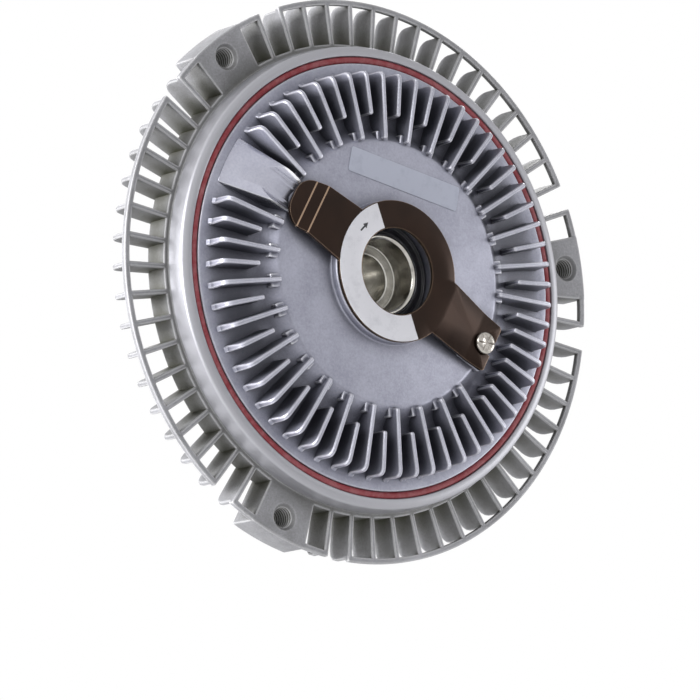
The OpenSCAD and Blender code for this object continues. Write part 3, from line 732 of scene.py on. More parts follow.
def combine(base: Shape, how: Join, *tools: Shape) -> Shape:
    """Adds closed shapes to a closed shape, or takes them away from it.

    Args:
        base: The shape that is kept; it is used up.
        how: Add or take.
        tools: The other shapes; they are used up.

    Returns:
        The new closed mesh.
    """
    objects = []
    for bm in (base, *tools):
        mesh = bpy.data.meshes.new("stock")
        bm.to_mesh(mesh)
        bm.free()
        objects.append(bpy.data.objects.new("stock", mesh))
        bpy.context.scene.collection.objects.link(objects[-1])
    for tool in objects[1:]:
        step = objects[0].modifiers.new("join", "BOOLEAN")
        step.solver = "MANIFOLD"
        step.operation = how.value
        step.object = tool
    graph = bpy.context.evaluated_depsgraph_get()
    result = bpy.data.meshes.new_from_object(objects[0].evaluated_get(graph))
    bm = bmesh.new()
    bm.from_mesh(result)
    bpy.data.meshes.remove(result)
    for obj in objects:
        mesh = obj.data
        bpy.data.objects.remove(obj)
        bpy.data.meshes.remove(mesh)
    bmesh.ops.remove_doubles(bm, verts=bm.verts, dist=JOIN_MERGE)
    bmesh.ops.dissolve_degenerate(bm, edges=bm.edges, dist=SLIVER)
    return bm


def finished(bm: Shape, name: str, finish: Finish, body: Body, slot: str, *nodes: str) -> bpy.types.Object:
    """Turns a shape into a piece of the clutch.

    Args:
        bm: The shape; it is used up.
        name: Name of the piece.
        finish: Its surface.
        body: Body that it rides on.
        slot: Material slot of the record; not used.
        nodes: CAD nodes that it stands for.

    Returns:
        The piece.
    """
    bm.transform(FITTED)
    for face in bm.faces:
        face.smooth = True
    for edge in bm.edges:
        edge.smooth = edge.is_manifold and edge.calc_face_angle(0) < SHARP_ANGLE
    mesh = bpy.data.meshes.new(name)
    bm.to_mesh(mesh)
    bm.free()
    mesh.materials.append(finish.material())
    piece = bpy.data.objects.new(name, mesh)
    bpy.context.scene.collection.objects.link(piece)
    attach(piece, body.value)
    if nodes:
        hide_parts(*nodes)
    log.info("%s: %d faces", name, len(mesh.polygons))
    return piece


def faces_with_own_finish(piece: bpy.types.Object, finish: Finish,
                 takes_own_finish: Callable[[float, float, float], bool]) -> None:
    """Gives some faces of a casting a finish of their own: faces that were turned, and faces painted lighter
    as a highlight.

    Args:
        piece: A finished piece.
        finish: Finish of those faces.
        takes_own_finish: Whether a face at a radius, a height and an angle takes that finish.
    """
    piece.data.materials.append(finish.material())
    for face in piece.data.polygons:
        at = face.center
        if takes_own_finish(math.hypot(at.x, at.z) / MM, -at.y / MM, math.degrees(math.atan2(at.z, at.x))):
            face.material_index = 1


def dress(node: str, finish: Finish) -> None:
    """Gives a CAD node its finish."""
    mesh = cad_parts[node].data
    mesh.materials.clear()
    mesh.materials.append(finish.material())
    log.info("%s: dressed", node)


# The clutch


@dataclass(frozen=True)
class Levels:
    """Heights over the hub's mounting face."""

    flange: float = 5.0
    boss_end: float = 6.0
    ring_groove: float = 8.0
    bearing_rear: float = 9.2
    bearing_front: float = 22.2
    back_wall: float = 23.8
    back_face: float = 28.2
    rotor_front: float = 34.8
    fan_seat: float = 35.8
    cover_seat: float = 36.8
    screw_seat: float = 37.8
    plate_front: float = 38.0
    seal_back: float = 40.0
    rim_front: float = 43.8
    seal_front: float = 47.0
    nose: float = 48.0
    plateau: float = 50.8
    strip_seat: float = 51.9
    arm_low: float = 52.2
    fin_top: float = 52.8
    collar: float = 54.1
    strip: float = 54.4


@dataclass(frozen=True)
class Fits:
    """Sizes that two pieces share."""

    red_ring_r: float = 75.0
    red_ring_in_r: float = 72.6
    red_ring_h: float = 2.4
    collar_r: float = 24.0
    hub_seal_r: float = 18.5
    arm_w: float = 17.6
    held_reach: float = 47.0
    stud_reach: float = 43.0


LEVEL = Levels()
FIT = Fits()


@dataclass
class RearHousing:
    """Cast rear housing with its rim, vane ring, fan pads, bearing boss and rear fins."""

    # Turned body, and how far past the rim's radius and over the fan's seat its turned faces start
    rim_r: float = 79.0
    rim_margin: float = 0.2
    rim_foot: float = 0.5
    rim_flat: float = 1.6
    rim_draft: float = 0.4
    rim_slope: float = 1.0
    cell_r: float = 80.6
    cell_chamfer: float = 2.0
    cell_chamfer_h: float = 2.5
    chamber_r: float = 70.0
    boss_r: float = 33.0
    boss_draft: float = 0.6
    bearing_r: float = 27.5
    groove_r: float = 29.0
    shoulder_r: float = 25.0
    land_count: int = 5
    land_r: float = 46.0
    land_pitch: float = 4.0
    land_t: float = 1.6
    land_h: float = 3.5
    # Band and vanes
    band_r: float = 95.97
    band_w: float = 1.9
    band_t: float = 2.1
    vane_count: int = 60
    vane_root_r: float = 77.0
    vane_t: float = 1.7
    vane_depth: float = 11.2
    vane_round: float = 3.5
    # Fan pads and their tapped holes
    pad_count: int = 3
    pad_half_angle: float = 6.7
    pad_depth: float = 12.0
    pad_proud: float = 0.2
    fan_pcd: float = 178.0
    hole_r: float = 3.4
    thread_r: float = 4.0
    thread_pitch: float = 1.25
    thread_start: float = 0.6
    chamfer_r: float = 4.6
    chamfer_depth: float = 1.4
    # Rear fins
    fin_count: int = 30
    fin_h: float = 13.0
    fin_t: float = 1.8
    fin_draft: float = 1.0
    fin_sunk: float = 2.0
    fin_inset: float = 4.0
    fin_shoulder: float = 3.0
    # Shares of the fin's height at its middle and at its outer end
    fin_middle: float = 0.75
    fin_end: float = 0.15

    def shell(self) -> Shape:
        """Turns the rim, the back wall, the lands and the bearing boss.

        Returns:
            The turned body.
        """
        face, wall = LEVEL.back_face, LEVEL.back_wall
        lands: list[Corner] = []
        for i in range(self.land_count):
            mid, half = self.land_r + i * self.land_pitch, self.land_t / 2
            lands += [(mid - half, face, 0), (mid - half, face + self.land_h, 0.2),
                      (mid + half, face + self.land_h, 0.2), (mid + half, face, 0)]
        return lathe([
            (FIT.red_ring_r, LEVEL.rim_front, 0.35), (FIT.red_ring_r + self.rim_flat, LEVEL.rim_front, 0.6),
            (self.rim_r - self.rim_draft, LEVEL.rim_front - self.rim_slope, 0.7),
            (self.rim_r, LEVEL.fan_seat, 0.5), (self.cell_r, LEVEL.fan_seat, 0.4),
            (self.cell_r, wall + self.cell_chamfer_h, 0.8), (self.cell_r - self.cell_chamfer, wall, 1.0),
            (self.boss_r, wall, 2.0), (self.boss_r - self.boss_draft, LEVEL.boss_end, 0.8),
            (self.bearing_r, LEVEL.boss_end, 0.5), (self.bearing_r, LEVEL.ring_groove, 0),
            (self.groove_r, LEVEL.ring_groove, 0), (self.groove_r, LEVEL.bearing_rear, 0),
            (self.bearing_r, LEVEL.bearing_rear, 0), (self.bearing_r, LEVEL.bearing_front, 0),
            (self.shoulder_r, LEVEL.bearing_front, 0), (self.shoulder_r, face, 0.4), *lands,
            (self.chamber_r, face, 0.8), (self.chamber_r, LEVEL.cover_seat, 0.3),
            (FIT.red_ring_r, LEVEL.cover_seat, 0)])

    def pad_angles(self) -> list[float]:
        """Angles of the fan holes."""
        return [FIRST_HOLE + i * 360 / self.pad_count for i in range(self.pad_count)]

    def vanes(self) -> Shape:
        """Stands thin vanes between the rim and the band.

        Returns:
            All the vanes.
        """
        pitch = 360 / self.vane_count
        tip = self.band_r - self.band_w / 2
        root, low, high = self.vane_root_r, LEVEL.fan_seat - self.vane_depth, LEVEL.fan_seat
        vane = plate([(root, high, 0), (tip, high, 0), (tip, low, self.vane_round), (root, low, 0)],
                     lambda z: self.vane_t, edge=0.28)
        places = range(2, self.vane_count // self.pad_count - 1)
        return around(vane, [pad + i * pitch for pad in self.pad_angles() for i in places])

    def bands(self) -> list[Shape]:
        """Sweeps the stretches of the band, which is open on both sides of each pad.

        Returns:
            The stretches.
        """
        pitch = 360 / self.vane_count
        half = math.degrees(self.vane_t / 2 / self.band_r)
        side = section(self.band_r - self.band_w, self.band_r, LEVEL.fan_seat - self.band_t, LEVEL.fan_seat,
                       (0.3, 0.3, 0.35, 0.3))
        # Vanes, counted from a pad, at which each stretch starts and ends
        stretches = ((-2, 2), (3, self.vane_count // self.pad_count - 3))
        return [arc(side, pad + first * pitch - half, pad + last * pitch + half, edge=0.25)
                for pad in self.pad_angles() for first, last in stretches]

    def pads(self) -> Shape:
        """Sweeps the solid pads that take the fan screws.

        Returns:
            All the pads.
        """
        side = section(self.vane_root_r, self.band_r + self.pad_proud, LEVEL.fan_seat - self.pad_depth,
                       LEVEL.fan_seat, (0, 0.8, 0.4, 0))
        return around(arc(side, -self.pad_half_angle, self.pad_half_angle, edge=0.5), self.pad_angles())

    def screw_holes(self) -> Shape:
        """Turns the cutters of the tapped holes, with the crests of the thread and the lead-in.

        Returns:
            All the cutters.
        """
        low, high = LEVEL.fan_seat - self.pad_depth, LEVEL.fan_seat
        crests: list[Corner] = []
        for i in range(int(self.pad_depth / self.thread_pitch) - 1):
            z = low + self.thread_start + i * self.thread_pitch
            crests += [(self.hole_r, z, 0), (self.thread_r, z + self.thread_pitch / 2, 0)]
        hole = lathe([(0, low - CUT, 0), (self.hole_r, low - CUT, 0), *crests,
                      (self.hole_r, high - self.chamfer_depth, 0), (self.chamfer_r, high, 0),
                      (self.chamfer_r + CUT, high + CUT, 0), (0, high + CUT, 0)], steps=48)
        return around(moved(hole, (self.fan_pcd / 2, 0, 0)), self.pad_angles())

    def rear_fins(self) -> Shape:
        """Stands the fins on the back, tall beside the boss.

        Returns:
            All the fins.
        """
        wall = LEVEL.back_wall
        low = wall - self.fin_h
        inner, outer = self.boss_r - self.fin_sunk, self.cell_r - self.fin_inset
        fin = plate([(inner, wall + CUT, 0), (outer, wall + CUT, 0),
                     (outer, wall - self.fin_end * self.fin_h, 0.8),
                     ((self.boss_r + self.cell_r) / 2, wall - self.fin_middle * self.fin_h, 4.0),
                     (self.boss_r + self.fin_shoulder, low, 3.0), (inner, low, 0)],
                    lambda z: self.fin_t + self.fin_draft * (z - low) / self.fin_h, edge=0.5)
        return around(fin, [(i + 0.5) * 360 / self.fin_count for i in range(self.fin_count)])

    def on_rim(self, radius: float, height: float, _angle: float) -> bool:
        """Tells the faces of the turned rim."""
        return radius < self.rim_r + self.rim_margin and height > LEVEL.fan_seat + self.rim_foot

    def build(self) -> None:
        """Joins the casting and stands it in for its CAD node."""
        body = combine(self.shell(), Join.ADD, self.vanes())
        body = combine(body, Join.ADD, *self.bands())
        body = combine(body, Join.ADD, self.pads(), self.rear_fins())
        body = combine(body, Join.TAKE, self.screw_holes())
        piece = finished(body, "housing_casting", HOUSING_CAST, Body.HOUSING, "housing_cast", "rear_housing")
        faces_with_own_finish(piece, RIM_TURNED, self.on_rim)


@dataclass
class FrontCover:
    """Cast front cover with its fins, tabs, collar, saddle and the seat of the strip's held end."""

    # Turned body
    rim_r: float = 74.95
    fin_out_r: float = 69.6
    slope_foot_r: float = 50.5
    foot_rise: float = 1.5
    plateau_r: float = 45.2
    wall: float = 4.0
    seal_lip_r: float = 17.0
    seal_lip_t: float = 0.6
    inside_r: float = 22.5
    inside_top_r: float = 43.2
    inside_foot_r: float = 48.5
    spigot_r: float = 70.0
    # Fins, and tabs at the feet of the long ones
    fin_count: int = 60
    fin_t: float = 1.5
    fin_root_t: float = 2.3
    fin_shoulder: float = 0.8
    fin_foot: float = 1.0
    fin_round: float = 2.4
    long_fin_r: float = 45.6
    short_fin_r: float = 53.7
    tab_w: float = 4.6
    tab_reach: float = 48.5
    tab_sunk: float = 2.0
    tab_drop: float = 0.3
    held_half_angle: float = 15.0
    # Saddle of the strip's free end
    saddle_half_angle: float = 7.4
    saddle_gap_angle: float = 1.0
    saddle_edge_angle: float = 0.3
    saddle_in_r: float = 40.0
    saddle_top_r: float = 51.5
    saddle_rise: float = 0.9
    saddle_foot: float = 0.2
    pocket_r: float = 10.2
    pocket_reach: float = 37.0
    scoop_r: float = 9.0
    scoop_reach: float = 47.0
    scoop_depth: float = 3.0
    scoop_fall: float = 4.0
    # Seat of the held end, and the pin's hole
    seat_l: float = 7.0
    pin_reach: float = 31.0
    guide_r: float = 1.55
    recess_r: float = 3.2
    recess_depth: float = 2.0

    def shell(self) -> Shape:
        """Turns the outer ring, the channel floor, the flat middle, the collar and the inner walls.

        Returns:
            The turned body.
        """
        ring, top = LEVEL.rim_front, LEVEL.plateau
        step, lip = ring - FIT.red_ring_h, LEVEL.seal_back - self.seal_lip_t
        return lathe([
            (self.rim_r, LEVEL.plate_front, 0), (self.rim_r, step, 0), (FIT.red_ring_in_r, step, 0),
            (FIT.red_ring_in_r, ring, 0.5), (self.fin_out_r, ring, 0.5),
            (self.slope_foot_r, ring + self.foot_rise, 1.6), (self.plateau_r, top, 0.8),
            (FIT.collar_r, top, 0.7), (FIT.collar_r, LEVEL.collar, 0.7), (FIT.hub_seal_r, LEVEL.collar, 0.8),
            (FIT.hub_seal_r, LEVEL.seal_back, 0), (self.seal_lip_r, LEVEL.seal_back, 0),
            (self.seal_lip_r, lip, 0), (self.inside_r, lip, 0.3), (self.inside_r, top - self.wall, 1.0),
            (self.inside_top_r, top - self.wall, 1.5), (self.inside_foot_r, ring - self.wall, 1.0),
            (self.spigot_r, ring - self.wall, 0.3), (self.spigot_r, LEVEL.plate_front, 0)])

    def fin(self, inner: float) -> Shape:
        """Makes one drafted fin.

        Args:
            inner: Radius of its inner end.

        Returns:
            The fin, up to its rounded shoulder.
        """
        ring, top = LEVEL.rim_front, LEVEL.fin_top
        shoulder = self.fin_out_r - self.fin_shoulder
        taper = (self.fin_t - self.fin_root_t) / (top - ring)
        return plate([(inner, ring - CUT, 0), (self.fin_out_r, ring - CUT, 0), (self.fin_out_r, ring, 0),
                      (shoulder, ring + self.fin_foot, 0), (shoulder, top, self.fin_round),
                      (inner, top, 0.9)],
                     lambda z: self.fin_root_t + taper * (z - ring), edge=0.32)

    def fins(self) -> list[Shape]:
        """Stands the fins, long and short in turn, and the tabs at the feet of the long ones.

        Returns:
            The tabs, the long fins and the short fins.
        """
        cleared = self.saddle_half_angle + self.saddle_gap_angle
        places = [(i, FIRST_HOLE + i * 360 / self.fin_count) for i in range(self.fin_count)]
        kept = [(i, at) for i, at in places if apart(at, STRIP_ANGLE) > cleared]
        longer = [at for i, at in kept
                  if i % 2 == 0 and apart(at, STRIP_ANGLE + 180) >= self.held_half_angle]
        shorter = [at for _, at in kept if at not in longer]
        tab = plate(section(self.plateau_r - self.tab_sunk, self.tab_reach, LEVEL.rim_front,
                            LEVEL.plateau - self.tab_drop, (0, 0, 0.6, 0)), lambda z: self.tab_w, edge=0.25)
        return [around(tab, longer), around(self.fin(self.long_fin_r), longer),
                around(self.fin(self.short_fin_r), shorter)]

    def saddle(self) -> Shape:
        """Makes the smooth block that falls from the strip's tip to the outer ring.

        Returns:
            The block, with a pocket for the tip and a scoop along its middle.
        """
        ring, crest = LEVEL.rim_front, LEVEL.arm_low + self.saddle_rise
        block = arc([(self.saddle_in_r, ring, 0), (self.fin_out_r, ring - CUT, 0),
                     (self.fin_out_r, ring + self.saddle_foot, 0.3), (self.saddle_top_r, crest, 2.0),
                     (self.saddle_in_r, crest, 0)],
                    -self.saddle_half_angle, self.saddle_half_angle, edge=1.1)
        pocket = drill(self.pocket_r, LEVEL.strip_seat, crest + CUT, steps=64, rounding=0.5)
        moved(pocket, (self.pocket_reach, 0, 0))
        scoop = turned(drill(self.scoop_r, -ABOVE, ABOVE, steps=96), self.scoop_fall - 90, "Y")
        moved(scoop, (self.scoop_reach, 0, crest - self.scoop_depth + self.scoop_r))
        return turned(combine(block, Join.TAKE, pocket, scoop), STRIP_ANGLE)

    def held_seat(self) -> Shape:
        """Makes the block under the strip's held end.

        Returns:
            The block.
        """
        seat = plate(section(FIT.stud_reach - self.seat_l, FIT.held_reach, LEVEL.rim_front, LEVEL.strip_seat,
                             (0, 0, 0.8, 0.8)), lambda z: FIT.arm_w, edge=0.6)
        return turned(seat, STRIP_ANGLE + 180)

    def on_saddle(self, radius: float, height: float, angle: float) -> bool:
        """Tells the faces of the saddle, which get a lighter, glossier finish as painted highlight."""
        return (apart(angle, STRIP_ANGLE) < self.saddle_half_angle + self.saddle_edge_angle
                and self.long_fin_r < radius < self.fin_out_r and height > LEVEL.rim_front + self.saddle_foot)

    def build(self) -> None:
        """Joins the casting and stands it in for its CAD node."""
        body = combine(self.shell(), Join.ADD, *self.fins())
        body = combine(body, Join.ADD, self.saddle(), self.held_seat())
        guide = drill(self.guide_r, LEVEL.back_face, ABOVE, steps=32)
        recess = drill(self.recess_r, LEVEL.plateau - self.recess_depth, ABOVE, steps=48)
        for hole in (guide, recess):
            turned(moved(hole, (self.pin_reach, 0, 0)), STRIP_ANGLE)
        body = combine(body, Join.TAKE, guide, recess)
        piece = finished(body, "cover_casting", COVER_CAST, Body.HOUSING, "cover_cast", "front_cover")
        # The saddle's faces take a lighter, glossier copy of the cast finish: painted highlight for its
        # bright scoop.
        faces_with_own_finish(piece, SADDLE_BRIGHTENED, self.on_saddle)


@dataclass
class Seals:
    """Red ring round the cover and black lip seal round the hub's nose."""

    red_sunk: float = 0.3
    # Lip, with what its parts reach outwards from it and back from its front
    lip_r: float = 14.05
    lip_t: float = 1.0
    lip_l: float = 3.0
    lip_slope_l: float = 2.0
    lip_chamfer: float = 0.6
    lip_chamfer_l: float = 0.5
    lip_top: float = 1.2
    lip_back: float = 1.6
    # Gutter behind the lip, and the seal's rim round it
    gutter: float = 0.9
    seal_rim: float = 1.2
    seal_rim_top: float = 0.9

    def build(self) -> None:
        """Turns both rings."""
        top = LEVEL.rim_front
        red = lathe(section(FIT.red_ring_in_r, FIT.red_ring_r, top - FIT.red_ring_h, top - self.red_sunk,
                            (0.2, 0.2, 0.9, 0.9)), steps=240)
        finished(red, "red_sealing_ring", RED_RUBBER, Body.HOUSING, "red_rubber", "sealing_ring")
        front, back = LEVEL.seal_front, LEVEL.seal_back
        outer, lip, floor = FIT.hub_seal_r, self.lip_r, LEVEL.seal_front - self.gutter
        seal = lathe([(outer, back, 0.3), (lip + self.lip_t, back, 0.3),
                      (lip + self.lip_t, front - self.lip_l, 0.4), (lip, front - self.lip_slope_l, 0.15),
                      (lip, front - self.lip_chamfer_l, 0.2), (lip + self.lip_chamfer, front, 0.2),
                      (lip + self.lip_top, front, 0.2), (lip + self.lip_back, floor, 0.3),
                      (outer - self.seal_rim, floor, 0.3), (outer - self.seal_rim_top, front, 0.2),
                      (outer, front, 0.4)])
        finished(seal, "hub_lip_seal", BLACK_RUBBER, Body.HOUSING, "black_rubber", "hub_seal")


@dataclass
class DriveHub:
    """Turned hub with its mounting flange, bearing seat, nose and stepped screw bore."""

    flange_r: float = 25.0
    neck_r: float = 18.0
    bearing_r: float = 15.0
    groove_depth: float = 0.7
    groove_w: float = 1.2
    shoulder_l: float = 4.6
    rotor_seat_r: float = 14.5
    nose_r: float = 14.0
    nose_chamfer_h: float = 0.5
    head_r: float = 12.0
    head_lead: float = 0.9
    head_lead_h: float = 0.8
    bore_r: float = 8.2
    pilot_r: float = 13.0
    pilot_depth: float = 3.5

    def build(self) -> None:
        """Turns the hub."""
        front, nose, seat = LEVEL.bearing_front, LEVEL.nose, LEVEL.screw_seat
        groove_r, groove = self.bearing_r - self.groove_depth, front + self.groove_w
        shoulder = front + self.shoulder_l
        hub = lathe([
            (self.pilot_r, 0, 0.4), (self.flange_r, 0, 0.8), (self.flange_r, LEVEL.flange, 0.8),
            (self.neck_r, LEVEL.flange, 0.6), (self.neck_r, LEVEL.bearing_rear, 0.3),
            (self.bearing_r, LEVEL.bearing_rear, 0), (self.bearing_r, front, 0), (groove_r, front, 0),
            (groove_r, groove, 0), (self.bearing_r, groove, 0), (self.bearing_r, shoulder, 0.2),
            (self.rotor_seat_r, shoulder, 0), (self.rotor_seat_r, LEVEL.rotor_front, 0),
            (self.nose_r, LEVEL.rotor_front + self.nose_chamfer_h, 0), (self.nose_r, nose, 0.5),
            (self.head_r + self.head_lead, nose, 0.15), (self.head_r, nose - self.head_lead_h, 0.3),
            (self.head_r, seat, 0.6), (self.bore_r, seat, 0.6), (self.bore_r, self.pilot_depth, 0.5),
            (self.pilot_r, self.pilot_depth, 0.2)])
        finished(hub, "turned_hub", HUB_STEEL, Body.HUB, "hub_steel", "drive_hub")


@dataclass
class BimetalStrip:
    """Bimetal strip with its ring, joggled free arm and forked held arm, its stud and its blank label."""

    thickness: float = 1.2
    hole_r: float = 14.7
    root_w: float = 20.6
    root_reach: float = 19.7
    tip_reach: float = 46.2
    tip_round: float = 7.0
    held_round: float = 1.2
    corner_steps: int = 10
    # Places along the held arm where its slope ends and starts
    slope_low: float = -38.6
    slope_high: float = -23.0
    drop: float = 2.2
    # A bend is softened over this many steps on both sides, and creased at its middle and its two ends
    bend_step: float = 0.15
    bend_steps: int = 4
    bend_half: float = 0.6
    slope_bend_half: float = 0.7
    edge_round: float = 0.22
    fork_gap: float = 0.3
    # The slot stays this much inside the eye's facets
    slot_in: float = 0.02
    # Stud, with the heights of its head's parts over the head's lower face
    stud_r: float = 2.3
    stud_depth: float = 5.0
    stud_gap: float = 0.3
    stud_head_r: float = 3.9
    stud_head_h: float = 1.2
    stud_draft: float = 0.2
    crown_h: float = 1.8
    dent_r: float = 1.2
    dent_h: float = 1.4
    dent_floor_h: float = 1.3
    notch_w: float = 0.75
    notch_l: float = 9.0
    notch_h: float = 1.75
    notch_angles: tuple[float, ...] = (25.0, 85.0, 145.0)
    # Label and its arrow
    label_t: float = 0.12
    label_margin: float = 0.3
    label_start: float = 111.0
    label_end: float = 291.0
    ink_t: float = 0.02
    arrow_angle: float = 136.0
    arrow_half_w: float = 1.0
    arrow_line_half_w: float = 0.3
    arrow_tip: float = -2.3
    arrow_neck: float = -0.3
    arrow_tail: float = 2.0

    def level(self, along: float) -> float:
        """Finds the height of the arms over their ring, with soft bends.

        Args:
            along: Place along the arms.

        Returns:
            The height, 0 or below.
        """
        near = along + self.bend_step * np.arange(-self.bend_steps, self.bend_steps + 1)
        places = (self.slope_low, self.slope_high, *JOGGLE)
        return float(np.interp(near, places, (-self.drop, 0, 0, -self.drop)).mean())

    def arms(self) -> Shape:
        """Draws both arms as one flat bar with rounded corners.

        Returns:
            The bar.
        """
        root, half, root_half = self.root_reach, FIT.arm_w / 2, self.root_w / 2
        bm, corners = outline((x, y, 0) for x, y in (
            (-FIT.held_reach, -half), (-root, -root_half), (root, -root_half), (self.tip_reach, -half),
            (self.tip_reach, half), (root, root_half), (-root, root_half), (-FIT.held_reach, half)))
        held_right, _, _, tip_right, tip_left, _, _, held_left = corners
        for corner, radius in ((tip_right, self.tip_round), (tip_left, self.tip_round),
                               (held_right, self.held_round), (held_left, self.held_round)):
            round_corner(bm, corner, radius, self.corner_steps)
        bmesh.ops.translate(bm, verts=thicken(bm), vec=Vector((0, 0, self.thickness)))
        bmesh.ops.recalc_face_normals(bm, faces=bm.faces)
        return bm

    def blank(self) -> Shape:
        """Cuts the flat stamping: ring, arms, hole and fork.

        Returns:
            The stamping.
        """
        ring = lathe(section(self.hole_r, FIT.collar_r, 0, self.thickness), steps=144)
        through = self.thickness + CUT
        hole = drill(self.hole_r, -CUT, through, steps=144)
        fork_r = self.stud_r + self.fork_gap
        eye = moved(drill(fork_r, -CUT, through, steps=40), (-FIT.stud_reach, 0, 0))
        slot = plate(section(-FIT.held_reach - CUT, -FIT.stud_reach, -CUT, through),
                     lambda z: 2 * fork_r - self.slot_in)
        return combine(combine(ring, Join.ADD, self.arms()), Join.TAKE, hole, eye, slot)

    def strip(self) -> None:
        """Bends the stamping at its joggle and its sloped arm."""
        bm = self.blank()
        half = self.bend_half
        bends = ((self.slope_low, half), (self.slope_high, self.slope_bend_half), (JOGGLE[0], half),
                 (JOGGLE[1], half))
        for place, reach in bends:
            for cut in (place - reach, place, place + reach):
                bmesh.ops.bisect_plane(bm, geom=bm.verts[:] + bm.edges[:] + bm.faces[:], dist=TURN_MERGE,
                                       plane_co=(cut, 0, 0), plane_no=(1, 0, 0))
        for vert in bm.verts:
            vert.co.z += LEVEL.strip + self.level(vert.co.x)
        round_edges(bm, sharp_edges(bm, least=50), self.edge_round)
        finished(turned(bm, STRIP_ANGLE), "strip_stamping", BIMETAL, Body.STRIP, "bimetal", "bimetal_strip")

    def notch(self, head: float, angle: float) -> Shape:
        """Makes the cutter of one chisel blow across the stud's head.

        Args:
            head: Height of the head's lower face.
            angle: Its direction.

        Returns:
            A bar that stands on its edge.
        """
        blow = bmesh.new()
        bmesh.ops.create_cube(blow, size=self.notch_w)
        turned(blow, 45, "X")
        bmesh.ops.scale(blow, verts=blow.verts, vec=(self.notch_l / self.notch_w, 1, 1))
        return turned(moved(blow, (0, 0, head + self.notch_h)), angle)

    def stud(self) -> None:
        """Makes the stud, whose head is staked over the fork by chisel blows."""
        low = LEVEL.strip_seat - self.stud_depth
        head = LEVEL.arm_low + self.thickness + self.stud_gap
        bm = lathe([(0, low, 0), (self.stud_r, low, 0.2), (self.stud_r, head, 0),
                    (self.stud_head_r, head, 0.3),
                    (self.stud_head_r - self.stud_draft, head + self.stud_head_h, 0.6),
                    (self.stud_r, head + self.crown_h, 0.5), (self.dent_r, head + self.dent_h, 0.4),
                    (0, head + self.dent_floor_h, 0)], steps=48)
        staked = combine(bm, Join.TAKE, *(self.notch(head, angle) for angle in self.notch_angles))
        turned(moved(staked, (FIT.stud_reach, 0, 0)), STRIP_ANGLE + 180)
        finished(staked, "staked_stud", STAKED_METAL, Body.HOUSING, "stud_steel", "strip_stud")

    def label(self) -> None:
        """Lays the half-ring label, blank but for a turning arrow."""
        low = LEVEL.strip + self.thickness
        high = low + self.label_t
        sheet = arc(section(self.hole_r + self.label_margin, FIT.collar_r - self.label_margin, low, high,
                            (0, 0, 0.05, 0.05)), self.label_start, self.label_end)
        finished(sheet, "strip_half_ring_label", WHITE_FILM, Body.STRIP, "white_label", "strip_label")
        half, line, neck, tail = self.arrow_half_w, self.arrow_line_half_w, self.arrow_neck, self.arrow_tail
        arrow = plate([(0, self.arrow_tip, 0), (half, neck, 0), (line, neck, 0), (line, tail, 0),
                       (-line, tail, 0), (-line, neck, 0), (-half, neck, 0)], lambda z: self.ink_t)
        moved(turned(arrow, -90, "X"), ((self.hole_r + FIT.collar_r) / 2, 0, high + self.ink_t / 2))
        turned(arrow, self.arrow_angle)
        finished(arrow, "label_turning_arrow", PRINT_INK, Body.STRIP, "white_label")

    def build(self) -> None:
        """Makes the strip, its stud and its label."""
        self.strip()
        self.stud()
        self.label()


@dataclass
class CoverLabel:
    """Blank silver label on the cover's flat middle."""

    length: float = 46.0
    height: float = 8.6
    thickness: float = 0.15
    corner_r: float = 0.8
    angle: float = 79.0
    reach: float = 33.6

    def build(self) -> None:
        """Makes the label with rounded corners."""
        bm = bmesh.new()
        bmesh.ops.create_cube(bm, size=1.0)
        bmesh.ops.scale(bm, verts=bm.verts, vec=(self.height, self.length, self.thickness))
        uprights = [e for e in bm.edges if abs(e.verts[0].co.z - e.verts[1].co.z) > self.thickness / 2]
        round_edges(bm, uprights, self.corner_r, segments=4)
        turned(moved(bm, (self.reach, 0, LEVEL.plateau + self.thickness / 2)), self.angle)
        finished(bm, "cover_blank_label", SILVER_FILM, Body.HOUSING, "silver_label", "cover_label")


@dataclass
class InnerWorks:
    """Bearing, rotor and oil valve: true to shape in the CAD, so only dressed."""

    ground: tuple[str, ...] = ("bearing_inner_ring", "bearing_outer_ring", "bearing_balls", "control_pin",
                               "lever_rivet")
    pressed: tuple[str, ...] = ("bearing_shield_front", "bearing_shield_rear", "valve_lever")
    black: tuple[str, ...] = ("hub_retaining_ring", "bearing_retaining_ring")
    brass: tuple[str, ...] = ("bearing_cage", "wiper_block")

    def build(self) -> None:
        """Gives each CAD node its finish."""
        for nodes, finish in ((self.ground, BEARING_STEEL), (self.pressed, PRESSED_STEEL),
                              (self.black, BLACK_STEEL), (self.brass, SHEET_BRASS),
                              (("partition_plate",), PLATE_STEEL), (("rotor_disc",), HOUSING_CAST),
                              (("pin_seal",), BLACK_RUBBER)):
            for node in nodes:
                dress(node, finish)


# The studio


@dataclass(frozen=True)
class Lamp:
    """A soft square lamp aimed at the clutch, with its place and side in metres and its power in watts."""

    name: str
    place: tuple[float, float, float]
    side: float
    power: float

    def hang(self) -> None:
        """Adds the lamp to the scene."""
        data = bpy.data.lights.new(self.name, "AREA")
        data.size = self.side
        data.energy = self.power
        lamp = bpy.data.objects.new(self.name, data)
        aim = (-Vector(self.place)).to_track_quat("-Z", "Y").to_matrix().to_4x4()
        lamp.matrix_world = Matrix.Translation(self.place) @ aim
        bpy.context.scene.collection.objects.link(lamp)


LAMPS = (Lamp("front", place=(1.15, -0.5, -0.1), side=0.85, power=6.5),
         Lamp("side", place=(-1.4, 0.15, 0.1), side=0.5, power=30.0),
         Lamp("graze", place=(-1.15, -0.5, 0.55), side=0.5, power=6.0),
         Lamp("back", place=(0.9, 0.9, 0.9), side=0.8, power=14.0))


